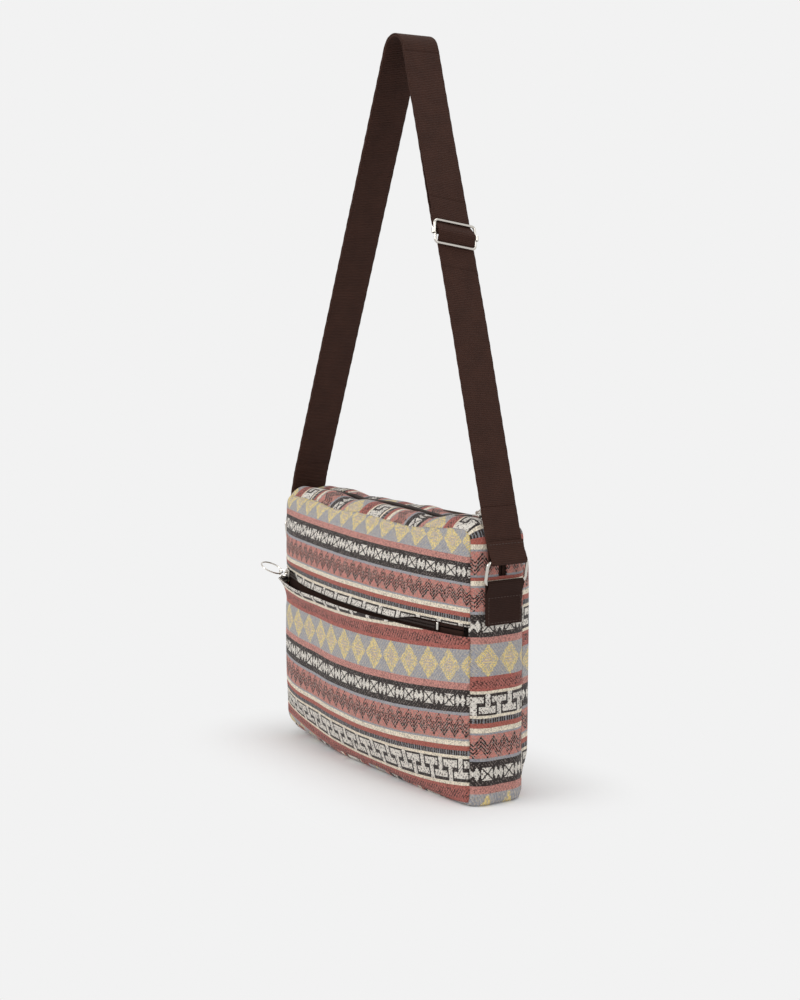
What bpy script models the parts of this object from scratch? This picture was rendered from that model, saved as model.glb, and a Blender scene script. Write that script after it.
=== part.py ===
"""A zip-top crossbody bag in banded jacquard cloth.

Soft cloth panels are sewn round a base-and-side strip, with a zip over the top, a zip
pocket across the front, and a webbing strap that runs through two sewn rings and a
three-bar adjuster. Metres, +Z up, front towards -Y, origin on the base under the middle.
"""
import math

import bmesh
import bpy
from mathutils import Matrix, Vector

MM = 0.001

# Body of the bag
BODY_WIDTH = 314 * MM
SEAM_DEPTH = 60.4 * MM
TOP_SEAM_HEIGHT = 243 * MM
PANEL_BULGE = 25.6 * MM
EDGE_BULGE = 7.5 * MM
BASE_CROWN = 6 * MM
SIDE_CROWN = 8 * MM
TOP_CROWN = 7 * MM
BASE_CORNER = 16 * MM
TOP_CORNER = 11 * MM
SIDE_SEAM_DROP = 40.5 * MM
CLOTH = 1.6 * MM
GAP = 0.3 * MM

# Zips, both of one size
TAPE_THICKNESS = 0.6 * MM
TAPE_WIDTH = 13 * MM
TAPE_SLIT = 1 * MM
COIL_RADIUS = 1.3 * MM
TOOTH_PITCH = 6.5 * MM
SLIDER_LENGTH = 11 * MM
SLIDER_WALL = 1.1 * MM
SLIDER_TOP = 1 * MM
BRIDGE_WIRE = 0.7 * MM
LINK_WIRE = 0.6 * MM
LINK_LENGTH = 7.5 * MM
LINK_WIDTH = 6.6 * MM
PULL_WIRE = 0.75 * MM
PULL_DIAMETER = 24 * MM
STOP_HEIGHT = 1.8 * MM
STOP_LENGTH = 2.6 * MM
STOP_WIDTH = 3.4 * MM

# Front pocket
POCKET_ZIP_DROP = 81.9 * MM
POCKET_ZIP_TILT = math.radians(2.37)
POCKET_ZIP_LEFT_INSET = 8 * MM
POCKET_ZIP_RIGHT_INSET = 33 * MM
LIP_DROP = 5 * MM
LIP_PROUD_LEFT = 16 * MM
LIP_PROUD_RIGHT = 2.5 * MM
LIP_REACH = 26 * MM
UPPER_EDGE_RISE = 4.9 * MM
POCKET_BAG_FLOOR = 48 * MM
POCKET_BAG_SLACK = 3 * MM
POCKET_PULL_SWING = math.radians(50)
POCKET_PULL_LIFT = math.radians(-24)

# Main zip
MAIN_ZIP_INSET = 20 * MM
MAIN_ZIP_MOUTH = 9.4 * MM
MAIN_PULL_SWING = math.radians(34)
MAIN_PULL_LIFT = math.radians(8)
MAIN_PULL_FLOP = math.radians(46)
MAIN_PULL_CLEARANCE = 0.2 * MM

# Lining
LINING = 0.8 * MM
LINING_EASE = 2.2 * MM

# Strap, rings and adjuster
WEB_WIDTH = 38 * MM
WEB = 1.3 * MM
RING_WIRE = 1.5 * MM
RING_PLAY = 1.4 * MM
RING_BAR_SPACING = 20.2 * MM
RING_CORNER = 2.5 * MM
RING_TILT = math.radians(12)
RING_BAR_DROP = 46.4 * MM
TAB_LENGTH = 31 * MM
SEWN_END = 24 * MM
APEX_HEIGHT = 677 * MM
APEX_OFFSET = 25.7 * MM
APEX_RADIUS = 14 * MM
LEFT_LEG_BOW = 4.5 * MM
LEFT_BOW_PLACE = 50 * MM
ADJUSTER_PLACE = 291 * MM
ADJUSTER_STANDOFF = 4 * MM
ADJUSTER_WIRE = 1.25 * MM
ADJUSTER_PLAY = 4 * MM
ADJUSTER_RAIL_SPACING = 10.5 * MM
ADJUSTER_CORNER = 2.5 * MM
ADJUSTER_SKEW = math.radians(9)
SKEW_HOLD = 30 * MM
SKEW_FADE = 60 * MM
ADJUSTER_TAIL = 22 * MM

# Places that follow from the driving dimensions
HALF_WIDTH = BODY_WIDTH / 2
HALF_DEPTH = SEAM_DEPTH / 2
BASE_SEAM_HEIGHT = BASE_CROWN
SIDE_SEAM_HEIGHT = TOP_SEAM_HEIGHT - SIDE_SEAM_DROP
POCKET_ZIP_HEIGHT = TOP_SEAM_HEIGHT - POCKET_ZIP_DROP
POCKET_ZIP_LEFT = POCKET_ZIP_LEFT_INSET - HALF_WIDTH
POCKET_ZIP_RIGHT = HALF_WIDTH - POCKET_ZIP_RIGHT_INSET
RING_BAR_HEIGHT = TOP_SEAM_HEIGHT - RING_BAR_DROP
BULGE_RADIUS = (HALF_WIDTH ** 2 + PANEL_BULGE ** 2) / (2 * PANEL_BULGE)
BULGE_CENTRE_Y = BULGE_RADIUS - PANEL_BULGE - HALF_DEPTH
PANEL_MIDDLE = (BASE_SEAM_HEIGHT + TOP_SEAM_HEIGHT) / 2
PANEL_HALF_HEIGHT = (TOP_SEAM_HEIGHT - BASE_SEAM_HEIGHT) / 2
FLAT_SHARE = 0.35
BASE_FLAT_SHARE = 0.75
PANEL_FLAT_SHARE = 0.42
ZIP_COIL_LIFT = COIL_RADIUS + GAP
COIL_OFFSET = COIL_RADIUS + GAP / 2
SLIDER_GROOVE = COIL_OFFSET + COIL_RADIUS + GAP
SLIDER_HALF_WIDTH = SLIDER_GROOVE + SLIDER_WALL
SLIDER_HEIGHT = ZIP_COIL_LIFT + COIL_RADIUS + GAP + SLIDER_TOP
BRIDGE_RISE = 2 * (LINK_WIRE + GAP) + BRIDGE_WIRE
LINK_AXIS_HEIGHT = SLIDER_HEIGHT + GAP + LINK_WIRE
SLIDER_STANDOFF = (SLIDER_LENGTH + STOP_LENGTH) / 2 + GAP
LAYER = WEB + GAP
HALF_LAYER = LAYER / 2
RING_INNER_WIDTH = WEB_WIDTH + RING_PLAY
ADJUSTER_INNER_WIDTH = WEB_WIDTH + ADJUSTER_PLAY


def clear_scene():
    for old in list(bpy.data.objects):
        bpy.data.objects.remove(old, do_unlink=True)


def new_collection(name):
    collection = bpy.data.collections.new(name)
    bpy.context.scene.collection.children.link(collection)
    return collection


def new_material(name, colour, roughness, metallic=0.0):
    material = bpy.data.materials.new(name)
    material.use_nodes = True
    shader = material.node_tree.nodes["Principled BSDF"]
    shader.inputs["Base Color"].default_value = (*colour, 1.0)
    shader.inputs["Roughness"].default_value = roughness
    shader.inputs["Metallic"].default_value = metallic
    material.diffuse_color = (*colour, 1.0)
    return material


def add_object(name, data, material, parent=None):
    obj = bpy.data.objects.new(name, data)
    PARTS.objects.link(obj)
    if material:
        data.materials.append(material)
    obj.parent = parent
    return obj


def add_empty(name, parent=None, location=(0, 0, 0), rotation=(0, 0, 0)):
    empty = bpy.data.objects.new(name, None)
    PARTS.objects.link(empty)
    empty.parent = parent
    empty.location = location
    empty.rotation_euler = rotation
    return empty


def soften(mesh, angle=40):
    mesh.shade_smooth()
    mesh.set_sharp_from_angle(angle=math.radians(angle))


class Run:
    """A path in one plane: straight stretches joined by arcs that round its corners."""

    def __init__(self, corners):
        self.pieces = []
        points = [Vector(corner[:2]) for corner in corners]
        radii = [corner[2] if len(corner) > 2 else 0.0 for corner in corners]
        start = points[0]
        for before, point, after, radius in zip(points, points[1:], points[2:], radii[1:]):
            towards = (point - before).normalized()
            away = (after - point).normalized()
            turn = towards.angle_signed(away)
            if radius == 0 or abs(turn) < 1e-6:
                self.pieces.append(("line", start, point, 0.0))
                start = point
                continue
            trim = radius * math.tan(abs(turn) / 2)
            first = point - towards * trim
            last = point + away * trim
            self.pieces.append(("line", start, first, 0.0))
            self.pieces.append(("arc", first, towards, -turn, radius))
            start = last
        self.pieces.append(("line", start, points[-1], 0.0))

    def stations(self, arc_step, longest):
        """Points and directions along the path, close together only where it bends."""
        found = []
        for piece in self.pieces:
            if piece[0] == "line":
                _, first, last, _ = piece
                length = (last - first).length
                if length < 1e-9:
                    continue
                direction = (last - first) / length
                count = max(1, math.ceil(length / longest))
                steps = [(first + direction * length * i / count, direction) for i in range(count + 1)]
            else:
                _, first, towards, turn, radius = piece
                side = Vector((-towards.y, towards.x)) * math.copysign(1, turn)
                centre = first + side * radius
                count = max(1, math.ceil(abs(turn) / arc_step - 1e-6))
                steps = []
                for i in range(count + 1):
                    spin = Matrix.Rotation(turn * i / count, 2)
                    steps.append((centre + spin @ (first - centre), spin @ towards))
            for point, direction in steps:
                if found and (found[-1][0] - point).length < 1e-7:
                    continue
                found.append((point, direction))
        return found


def sheet(name, columns, rows, place, material, thickness, offset=-1.0, parent=None):
    """A grid laid on a surface by place(column, row), given a thickness inwards."""
    bm = bmesh.new()
    bmesh.ops.create_grid(bm, x_segments=columns, y_segments=rows, size=1.0)
    for vert in bm.verts:
        column = round((vert.co.x + 1) / 2 * columns)
        row = round((vert.co.y + 1) / 2 * rows)
        vert.co = place(column, row)
    mesh = bpy.data.meshes.new(name)
    bm.to_mesh(mesh)
    bm.free()
    soften(mesh, 60)
    obj = add_object(name, mesh, material, parent)
    shell = obj.modifiers.new("thickness", "SOLIDIFY")
    shell.thickness = thickness
    shell.offset = offset
    shell.use_even_offset = True
    return obj


# Surfaces of the body

def half_width_at(height):
    """Half the width of the front and back panels, drawn in at their rounded corners."""
    low = BASE_SEAM_HEIGHT + BASE_CORNER - height
    high = height - (TOP_SEAM_HEIGHT - TOP_CORNER)
    if low > 0:
        return HALF_WIDTH - BASE_CORNER + math.sqrt(max(0.0, BASE_CORNER ** 2 - low ** 2))
    if high > 0:
        return HALF_WIDTH - TOP_CORNER + math.sqrt(max(0.0, TOP_CORNER ** 2 - high ** 2))
    return HALF_WIDTH


def swell(share, flat=FLAT_SHARE):
    """1 over the middle of a panel or strip, falling smoothly to 0 at share 1."""
    beyond = max(0.0, (abs(share) - flat) / (1 - flat))
    return 1 - beyond ** 2


def panel_depth(across, height):
    """How far the front panel stands from the bag's middle plane."""
    arc = math.sqrt(BULGE_RADIUS ** 2 - (across * HALF_WIDTH) ** 2) - (BULGE_RADIUS - PANEL_BULGE)
    edge = EDGE_BULGE / PANEL_BULGE
    upright = edge + (1 - edge) * swell((height - PANEL_MIDDLE) / PANEL_HALF_HEIGHT, PANEL_FLAT_SHARE)
    return HALF_DEPTH + arc * upright


def corner_heights(low, high, count):
    """Row heights for a panel, with extra rows round the panel's rounded corners."""
    heights = []
    straight_low = max(low, BASE_SEAM_HEIGHT + BASE_CORNER)
    straight_high = min(high, TOP_SEAM_HEIGHT - TOP_CORNER)
    corner_rows = 4
    if low < straight_low:
        for i in range(corner_rows):
            angle = math.pi / 2 * i / corner_rows
            heights.append(BASE_SEAM_HEIGHT + BASE_CORNER * (1 - math.cos(angle)))
    for i in range(count + 1):
        heights.append(straight_low + (straight_high - straight_low) * i / count)
    if high > straight_high:
        for i in range(1, corner_rows + 1):
            angle = math.pi / 2 * i / corner_rows
            heights.append(straight_high + TOP_CORNER * math.sin(angle))
    return heights


def zip_shift(x):
    """How far the slanting pocket zip stands above its middle height at a place across."""
    return -x * math.tan(POCKET_ZIP_TILT)


def panel(name, side, low, high, rows, material, lip=None):
    """A front (side -1) or back (side +1) panel. An edge beside the pocket zip slants with it."""
    low_calm = BASE_SEAM_HEIGHT + BASE_CORNER
    high_calm = TOP_SEAM_HEIGHT - TOP_CORNER
    heights = corner_heights(low, high, rows)
    columns = 20

    def place(column, row):
        across = (2 * column / columns - 1) * -side
        height = heights[row]
        slant = 0.0
        if high < high_calm:
            slant = (height - low_calm) / (high - low_calm)
        elif low > low_calm:
            slant = (high_calm - height) / (high_calm - low)
        height += zip_shift(across * HALF_WIDTH) * max(0.0, slant)
        depth = panel_depth(across, height)
        if lip:
            depth += lip(across, height)
        return Vector((across * half_width_at(height), side * depth, height))

    return sheet(name, columns, len(heights) - 1, place, material, CLOTH)


def pocket_lip(across, height):
    """The slack top edge of the pocket panel, which gapes most at the left."""
    proud = LIP_PROUD_RIGHT + (LIP_PROUD_LEFT - LIP_PROUD_RIGHT) * (1 - across) / 2
    edge = POCKET_ZIP_HEIGHT + zip_shift(across * HALF_WIDTH) - LIP_DROP
    reach = (height - (edge - LIP_REACH)) / LIP_REACH
    return proud * max(0.0, reach) ** 2 * swell(across, 0.9)


def strip_point(station, share, inset=0.0):
    """A point of the side, base or top strip: share runs -1 to 1 from front to back seam."""
    point, direction = station
    outward = Vector((-direction.y, direction.x))
    level = 1 - direction.y ** 2
    corner = TOP_CORNER if point.y > PANEL_MIDDLE else BASE_CORNER
    crown = TOP_CROWN if point.y > PANEL_MIDDLE else BASE_CROWN
    rise = crown * level + SIDE_CROWN * (1 - level)
    span = min(1.0, abs(point.x) / (HALF_WIDTH - corner))
    edge = EDGE_BULGE * (1 - span ** 2) * (1 if level > 0.999 else 0)
    half = HALF_DEPTH + edge - CLOTH - GAP
    flat = FLAT_SHARE if point.y > PANEL_MIDDLE else FLAT_SHARE + (BASE_FLAT_SHARE - FLAT_SHARE) * level
    lift = rise * swell(share, flat) - inset
    return Vector((point.x + outward.x * lift, share * half, point.y + outward.y * lift)), half


def base_run():
    """Down the right side, along the base and up the left side."""
    low = BASE_SEAM_HEIGHT
    top = SIDE_SEAM_HEIGHT - GAP / 2
    return Run([(HALF_WIDTH, top), (HALF_WIDTH, low, BASE_CORNER), (-HALF_WIDTH, low, BASE_CORNER),
                (-HALF_WIDTH, top)])


def top_run(start):
    """Up the left side from a height, over the top and down the right side."""
    high = TOP_SEAM_HEIGHT
    return Run([(-HALF_WIDTH, start), (-HALF_WIDTH, high, TOP_CORNER), (HALF_WIDTH, high, TOP_CORNER),
                (HALF_WIDTH, start)])


def gusset(material):
    stations = base_run().stations(math.radians(22.5), 24 * MM)
    rows = 8

    def place(column, row):
        return strip_point(stations[column], 2 * row / rows - 1)[0]

    return sheet("gusset_strip", len(stations) - 1, rows, place, material, CLOTH)


def top_strip(name, side, material):
    stations = top_run(SIDE_SEAM_HEIGHT + GAP / 2).stations(math.radians(22.5), 24 * MM)
    rows = 4

    def place(column, row):
        station = stations[column]
        half = strip_point(station, 1)[1]
        mouth = MAIN_ZIP_MOUTH / 2 / half
        share = mouth + (1 - mouth) * row / rows
        return strip_point(station, side * share)[0]

    strip = sheet(name, len(stations) - 1, rows, place, material, CLOTH)
    if side < 0:
        strip.modifiers["thickness"].offset = 1.0
    return strip


# Zip parts, in a frame with x along the zip, y across it and z out of the cloth

def bead(name, points, material):
    """One side of a zip's coil: a ribbed bead whose radius rises at every tooth."""
    curve = bpy.data.curves.new(name, "CURVE")
    curve.dimensions = "3D"
    curve.bevel_depth = COIL_RADIUS
    curve.bevel_resolution = 0
    curve.resolution_u = 1
    curve.render_resolution_u = 0
    curve.use_fill_caps = True
    spline = curve.splines.new("POLY")
    spline.points.add(len(points) - 1)
    for index, point in enumerate(points):
        spline.points[index].co = (*point, 1)
        spline.points[index].radius = 1.0 if index % 2 else 0.72
    return add_object(name, curve, material)


def block(length, width, height, bevel):
    """A small rounded block standing on z = 0, as a bmesh."""
    bm = bmesh.new()
    bmesh.ops.create_cube(bm, size=1.0)
    bmesh.ops.scale(bm, vec=(length, width, height), verts=bm.verts)
    bmesh.ops.translate(bm, vec=(0, 0, height / 2), verts=bm.verts)
    if bevel:
        bmesh.ops.bevel(bm, geom=list(bm.edges), offset=bevel, segments=2, affect="EDGES", profile=0.5)
    return bm


def mesh_object(name, bm, material, parent=None):
    mesh = bpy.data.meshes.new(name)
    bm.to_mesh(mesh)
    bm.free()
    soften(mesh)
    return add_object(name, mesh, material, parent)


def cutter(name, bm, parent=None):
    mesh = bpy.data.meshes.new(name)
    bm.to_mesh(mesh)
    bm.free()
    obj = bpy.data.objects.new(name, mesh)
    CUTTERS.objects.link(obj)
    obj.hide_render = True
    obj.display_type = "WIRE"
    obj.parent = parent
    return obj


def boolean(obj, tool, operation):
    step = obj.modifiers.new(tool.name, "BOOLEAN")
    step.operation = operation
    step.object = tool
    step.solver = "EXACT"


def bake_curve(obj):
    """Turn a bevelled curve object into a closed mesh object of the same name."""
    bpy.context.view_layer.update()
    graph = bpy.context.evaluated_depsgraph_get()
    mesh = bpy.data.meshes.new_from_object(obj.evaluated_get(graph))
    bm = bmesh.new()
    bm.from_mesh(mesh)
    bmesh.ops.remove_doubles(bm, verts=bm.verts, dist=1e-6)
    bmesh.ops.recalc_face_normals(bm, faces=bm.faces)
    bm.to_mesh(mesh)
    bm.free()
    return mesh


def wire_curve(name, points, radius, cyclic=False, sides=2):
    curve = bpy.data.curves.new(name, "CURVE")
    curve.dimensions = "3D"
    curve.bevel_depth = radius
    curve.bevel_resolution = sides
    curve.resolution_u = 1
    curve.render_resolution_u = 0
    curve.use_fill_caps = True
    spline = curve.splines.new("POLY")
    spline.points.add(len(points) - 1)
    for point, target in zip(points, spline.points):
        target.co = (*point, 1)
    spline.use_cyclic_u = cyclic
    return curve


def slider_body(name, material, parent, location, rotation):
    """The slider: a saddle that straddles the coil, with a bridge for the pull."""
    length = SLIDER_LENGTH
    bm = block(length, 2 * SLIDER_HALF_WIDTH, SLIDER_HEIGHT - GAP, 0.7 * MM)
    for vert in bm.verts:
        nose = max(0.0, (vert.co.x + length / 2) / length - 0.45)
        vert.co.y *= 1 - 0.16 * nose
        vert.co.z += GAP
    body = mesh_object(name, bm, material, parent)
    body.location = location
    body.rotation_euler = rotation
    groove = block(length * 2, 2 * SLIDER_GROOVE, ZIP_COIL_LIFT + COIL_RADIUS + GAP, 0)
    boolean(body, cutter(name + "_groove", groove, body), "DIFFERENCE")
    half = length / 2 - 1.6 * MM
    run = Run([(-half, SLIDER_HEIGHT - 0.5 * MM), (-half, SLIDER_HEIGHT + BRIDGE_RISE, 1.6 * MM),
               (half, SLIDER_HEIGHT + BRIDGE_RISE, 1.6 * MM), (half, SLIDER_HEIGHT - 0.5 * MM)])
    points = [(p.x, 0, p.y) for p, _ in run.stations(math.radians(30), 1)]
    curve = wire_curve(name + "_bridge", points, BRIDGE_WIRE)
    arch = bpy.data.objects.new(name + "_bridge_curve", curve)
    CUTTERS.objects.link(arch)
    mesh = bake_curve(arch)
    bpy.data.objects.remove(arch)
    bm = bmesh.new()
    bm.from_mesh(mesh)
    boolean(body, cutter(name + "_bridge", bm, body), "UNION")
    return body


def pull_link(name, material, parent, swing):
    """A small wire loop under the bridge, turned by swing from lying along -x."""
    long = LINK_LENGTH
    wide = LINK_WIDTH - 2 * LINK_WIRE
    corner = 1.2 * MM
    run = Run([(long / 2, -wide / 2), (long, -wide / 2, corner), (long, wide / 2, corner), (0, wide / 2, corner),
               (0, -wide / 2, corner), (long / 2, -wide / 2)])
    points = [(-p.x, p.y, 0) for p, _ in run.stations(math.radians(30), 1)][:-1]
    curve = wire_curve(name, points, LINK_WIRE, cyclic=True)
    link = add_object(name, curve, material, parent)
    link.location = (0, 0, LINK_AXIS_HEIGHT)
    link.rotation_euler = (0, swing, 0)
    return link


def pull_ring(name, material, parent, lift, flop):
    """The ring pull, threaded through the link. It turns about the link's end wire."""
    radius = PULL_DIAMETER / 2 - PULL_WIRE
    inside = LINK_WIRE + GAP + PULL_WIRE
    count = 32
    points = []
    for i in range(count):
        angle = 2 * math.pi * i / count
        points.append((inside - radius + radius * math.cos(angle), 0, radius * math.sin(angle)))
    curve = wire_curve(name, points, PULL_WIRE, cyclic=True)
    ring = add_object(name, curve, material, parent)
    ring.location = (-LINK_LENGTH, 0, 0)
    turn = Matrix.Rotation(flop, 4, "X") @ Matrix.Rotation(lift, 4, "Z")
    ring.rotation_euler = turn.to_euler()
    return ring


def main_pull_reach(parked, swing, right):
    """How far past the line of the strap's right leg the main ring pull reaches."""
    radius = PULL_DIAMETER / 2 - PULL_WIRE
    place = Matrix.Translation(parked) @ Matrix.Rotation(math.pi, 4, "Z")
    place = place @ Matrix.Translation((0, 0, LINK_AXIS_HEIGHT)) @ Matrix.Rotation(swing, 4, "Y")
    place = place @ Matrix.Translation((-LINK_LENGTH, 0, 0)) @ Matrix.Rotation(MAIN_PULL_FLOP, 4, "X")
    place = place @ Matrix.Rotation(MAIN_PULL_LIFT, 4, "Z")
    centre = place @ Vector((LINK_WIRE + GAP + PULL_WIRE - radius, 0, 0))
    out = Vector((right.out.x, 0, right.out.y))
    facing = place.to_3x3().col[1].dot(out)
    beyond = (Vector((centre.x, centre.z)) - right.foot).dot(right.out)
    return beyond + radius * math.sqrt(1 - facing ** 2) + PULL_WIRE


def main_pull_swing(parked):
    """The main pull leans out as far as the strap beside it lets it."""
    right = strap_legs()[1]
    webbing_face = -HALF_LAYER - WEB / 2
    swing = MAIN_PULL_SWING
    while swing < math.pi / 2 and main_pull_reach(parked, swing, right) > webbing_face - MAIN_PULL_CLEARANCE:
        swing += math.radians(1)
    return swing


def zip_stop(name, material, width, parent=None):
    return mesh_object(name, block(STOP_LENGTH, width, STOP_HEIGHT, 0.4 * MM), material, parent)


def front_zip(cloth, metal, teeth):
    """The pocket zip. It follows the panel's bulge about an axis that leans with the zip."""
    tape_radius = BULGE_RADIUS - CLOTH - GAP
    end = math.asin(HALF_WIDTH / BULGE_RADIUS) - (CLOTH + GAP) / BULGE_RADIUS * 2

    tilt = Matrix.Rotation(POCKET_ZIP_TILT, 3, "Y")

    def on_arc(angle, radius, rise):
        level = Vector((radius * math.sin(angle), BULGE_CENTRE_Y - radius * math.cos(angle), rise))
        return tilt @ level + Vector((0, 0, POCKET_ZIP_HEIGHT))

    steps = 26
    for name, side in (("front_zip_tape_upper", 1), ("front_zip_tape_lower", -1)):
        def place(column, row, side=side):
            angle = end * (2 * column / steps - 1)
            return on_arc(angle, tape_radius, side * (TAPE_SLIT / 2 + TAPE_WIDTH * row))
        tape = sheet(name, steps, 1, place, cloth, TAPE_THICKNESS)
        if side < 0:
            tape.modifiers["thickness"].offset = 1.0

    left = math.asin(POCKET_ZIP_LEFT / BULGE_RADIUS)
    right = math.asin(POCKET_ZIP_RIGHT / BULGE_RADIUS)
    coil_radius = tape_radius + ZIP_COIL_LIFT
    stop_room = 3 * MM / BULGE_RADIUS
    count = 2 * round((right - left - 2 * stop_room) * BULGE_RADIUS / TOOTH_PITCH)
    for name, side in (("front_zip_coil_upper", 1), ("front_zip_coil_lower", -1)):
        points = []
        for i in range(count + 1):
            angle = left + stop_room + (right - left - 2 * stop_room) * i / count
            points.append(on_arc(angle, coil_radius, side * COIL_OFFSET))
        bead(name, points, teeth)

    centre = add_empty("front_zip_centre", location=(0, BULGE_CENTRE_Y, POCKET_ZIP_HEIGHT),
                       rotation=(0, POCKET_ZIP_TILT, 0))
    upright = (math.radians(90), 0, 0)

    def station(name, angle):
        return add_empty(name, parent=centre, rotation=(0, 0, angle))

    bottom = zip_stop("front_zip_bottom_stop", metal, 2 * STOP_WIDTH, station("front_zip_end", right))
    bottom.location = (0, -tape_radius - GAP, 0)
    bottom.rotation_euler = upright
    start = station("front_zip_start", left)
    for name, side in (("front_zip_top_stop_upper", 1), ("front_zip_top_stop_lower", -1)):
        stop = zip_stop(name, metal, STOP_WIDTH, start)
        stop.location = (0, -tape_radius - GAP, side * (STOP_WIDTH + GAP) / 2)
        stop.rotation_euler = upright

    slide_turn = left + SLIDER_STANDOFF / BULGE_RADIUS
    travel = station("front_zip_travel", slide_turn)
    slider = slider_body("front_zip_slider", metal, travel, (0, -tape_radius, 0), upright)
    link = pull_link("front_zip_link", metal, slider, POCKET_PULL_SWING)
    pull_ring("front_zip_ring", metal, link, POCKET_PULL_LIFT, 0)


def main_zip(cloth, metal, teeth):
    """The zip over the top. It wraps both top corners and ends at the side seams."""
    start = SIDE_SEAM_HEIGHT + 2 * GAP
    stations = top_run(start).stations(math.radians(22.5), 24 * MM)
    inset = CLOTH + GAP

    for name, side in (("main_zip_tape_front", -1), ("main_zip_tape_back", 1)):
        def place(column, row, side=side):
            station = stations[column]
            half = strip_point(station, 1)[1]
            reach = TAPE_SLIT / 2 + TAPE_WIDTH * row / 2
            point, _ = strip_point(station, 0, inset)
            edge, _ = strip_point(station, side * reach / half, inset)
            return Vector((edge.x if row == 2 else point.x, side * reach, edge.z if row == 2 else point.z))
        tape = sheet(name, len(stations) - 1, 2, place, cloth, TAPE_THICKNESS)
        if side < 0:
            tape.modifiers["thickness"].offset = 1.0

    deck = TOP_SEAM_HEIGHT + TOP_CROWN - inset
    reach = HALF_WIDTH - MAIN_ZIP_INSET
    stop_room = 3 * MM
    count = 2 * round(2 * (reach - stop_room) / TOOTH_PITCH)
    for name, side in (("main_zip_coil_front", -1), ("main_zip_coil_back", 1)):
        points = []
        for i in range(count + 1):
            x = -reach + stop_room + 2 * (reach - stop_room) * i / count
            points.append(Vector((x, side * COIL_OFFSET, deck + ZIP_COIL_LIFT)))
        bead(name, points, teeth)

    bottom = zip_stop("main_zip_bottom_stop", metal, 2 * STOP_WIDTH)
    bottom.location = (-reach, 0, deck + GAP)
    for name, side in (("main_zip_top_stop_front", -1), ("main_zip_top_stop_back", 1)):
        stop = zip_stop(name, metal, STOP_WIDTH)
        stop.location = (reach, side * (STOP_WIDTH + GAP) / 2, deck + GAP)

    parked = Vector((reach - SLIDER_STANDOFF, 0, deck))
    slider = slider_body("main_zip_slider", metal, None, parked, (0, 0, math.pi))
    link = pull_link("main_zip_link", metal, slider, main_pull_swing(parked))
    pull_ring("main_zip_ring", metal, link, MAIN_PULL_LIFT, MAIN_PULL_FLOP)


# Strap, rings, tabs and adjuster

def rounded_loop(across, along, corner, low=0.0):
    """Points round a rounded rectangle: across is its width in y, along its height in z."""
    run = Run([(0, low), (across / 2, low, corner), (across / 2, low + along, corner),
               (-across / 2, low + along, corner), (-across / 2, low, corner), (0, low)])
    return [(0, p.x, p.y) for p, _ in run.stations(math.radians(30), 1)][:-1]


def ribbon(name, stations, material, width, thickness, shift=None):
    """Webbing laid flat along a path in the xz plane."""
    def place(column, row):
        point, _ = stations[column]
        y = width / 2 - width * row
        slid = shift(point, y) if shift else Vector((0, 0))
        return Vector((point.x + slid.x, y, point.y + slid.y))

    return sheet(name, len(stations) - 1, 1, place, material, thickness, offset=0.0)


def ring_bar_x():
    """How far out the ring's lower bar sits: over the gusset, a gap and the tab's inner layer."""
    return HALF_WIDTH + SIDE_CROWN + GAP + WEB + GAP + RING_WIRE


def tab(name, side, material):
    """Webbing folded over the ring's lower bar and sewn to the side strip."""
    inner = HALF_WIDTH + SIDE_CROWN + GAP + WEB / 2
    bar = ring_bar_x()
    wrap = RING_WIRE + GAP + WEB / 2
    outer = inner + LAYER
    foot = RING_BAR_HEIGHT - TAB_LENGTH
    top = RING_BAR_HEIGHT + wrap
    drop = RING_BAR_HEIGHT - 9 * MM
    run = Run([(side * inner, foot), (side * inner, top, wrap), (side * (bar + wrap), top, wrap),
               (side * (bar + wrap), RING_BAR_HEIGHT - 1.5 * MM, 3 * MM), (side * outer, drop, 6 * MM),
               (side * outer, foot)])
    return ribbon(name, run.stations(math.radians(22.5), 15 * MM), material, WEB_WIDTH, WEB)


def ring(name, side, metal):
    points = rounded_loop(RING_INNER_WIDTH + 2 * RING_WIRE, RING_BAR_SPACING, RING_CORNER)
    curve = wire_curve(name, points, RING_WIRE, cyclic=True)
    obj = add_object(name, curve, metal)
    obj.location = (side * ring_bar_x(), 0, RING_BAR_HEIGHT)
    obj.rotation_euler = (0, side * RING_TILT, 0)
    return obj


class Leg:
    """One side of the strap, with places measured along it and out from it."""

    def __init__(self, foot, head, outward):
        self.foot = foot
        self.up = (head - foot).normalized()
        normal = Vector((self.up.y, -self.up.x))
        self.out = normal if normal.x * outward > 0 else -normal

    def at(self, along, out, radius=0.0):
        point = self.foot + self.up * along + self.out * out
        return (point.x, point.y, radius)


def ring_top(side):
    reach = Vector((side * math.sin(RING_TILT), math.cos(RING_TILT))) * RING_BAR_SPACING
    return Vector((side * ring_bar_x(), RING_BAR_HEIGHT)) + reach


def strap_head(right_foot, left_foot):
    """Where the two legs' lines would meet, above the rounded top of the strap."""
    head = Vector((APEX_OFFSET, APEX_HEIGHT))
    for _ in range(20):
        right = (head - right_foot).normalized()
        left = (head - left_foot).normalized()
        half = (math.pi - right.angle(-left)) / 2
        head.y = APEX_HEIGHT + APEX_RADIUS / math.sin(half) - APEX_RADIUS
    return head


def offset_head(head, right, left, out):
    """The meeting point of the two legs' lines when both are moved outwards."""
    share = out / (1 + right.out.dot(left.out))
    return head + (right.out + left.out) * share


def strap_legs():
    right_foot = ring_top(1)
    left_foot = ring_top(-1)
    head = strap_head(right_foot, left_foot)
    right = Leg(right_foot, head, 1)
    straight = Leg(left_foot, head, -1)
    bow = Vector(straight.at(LEFT_BOW_PLACE, LEFT_LEG_BOW)[:2])
    return head, right, Leg(bow, head, -1), Leg(left_foot, bow, -1)


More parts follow.
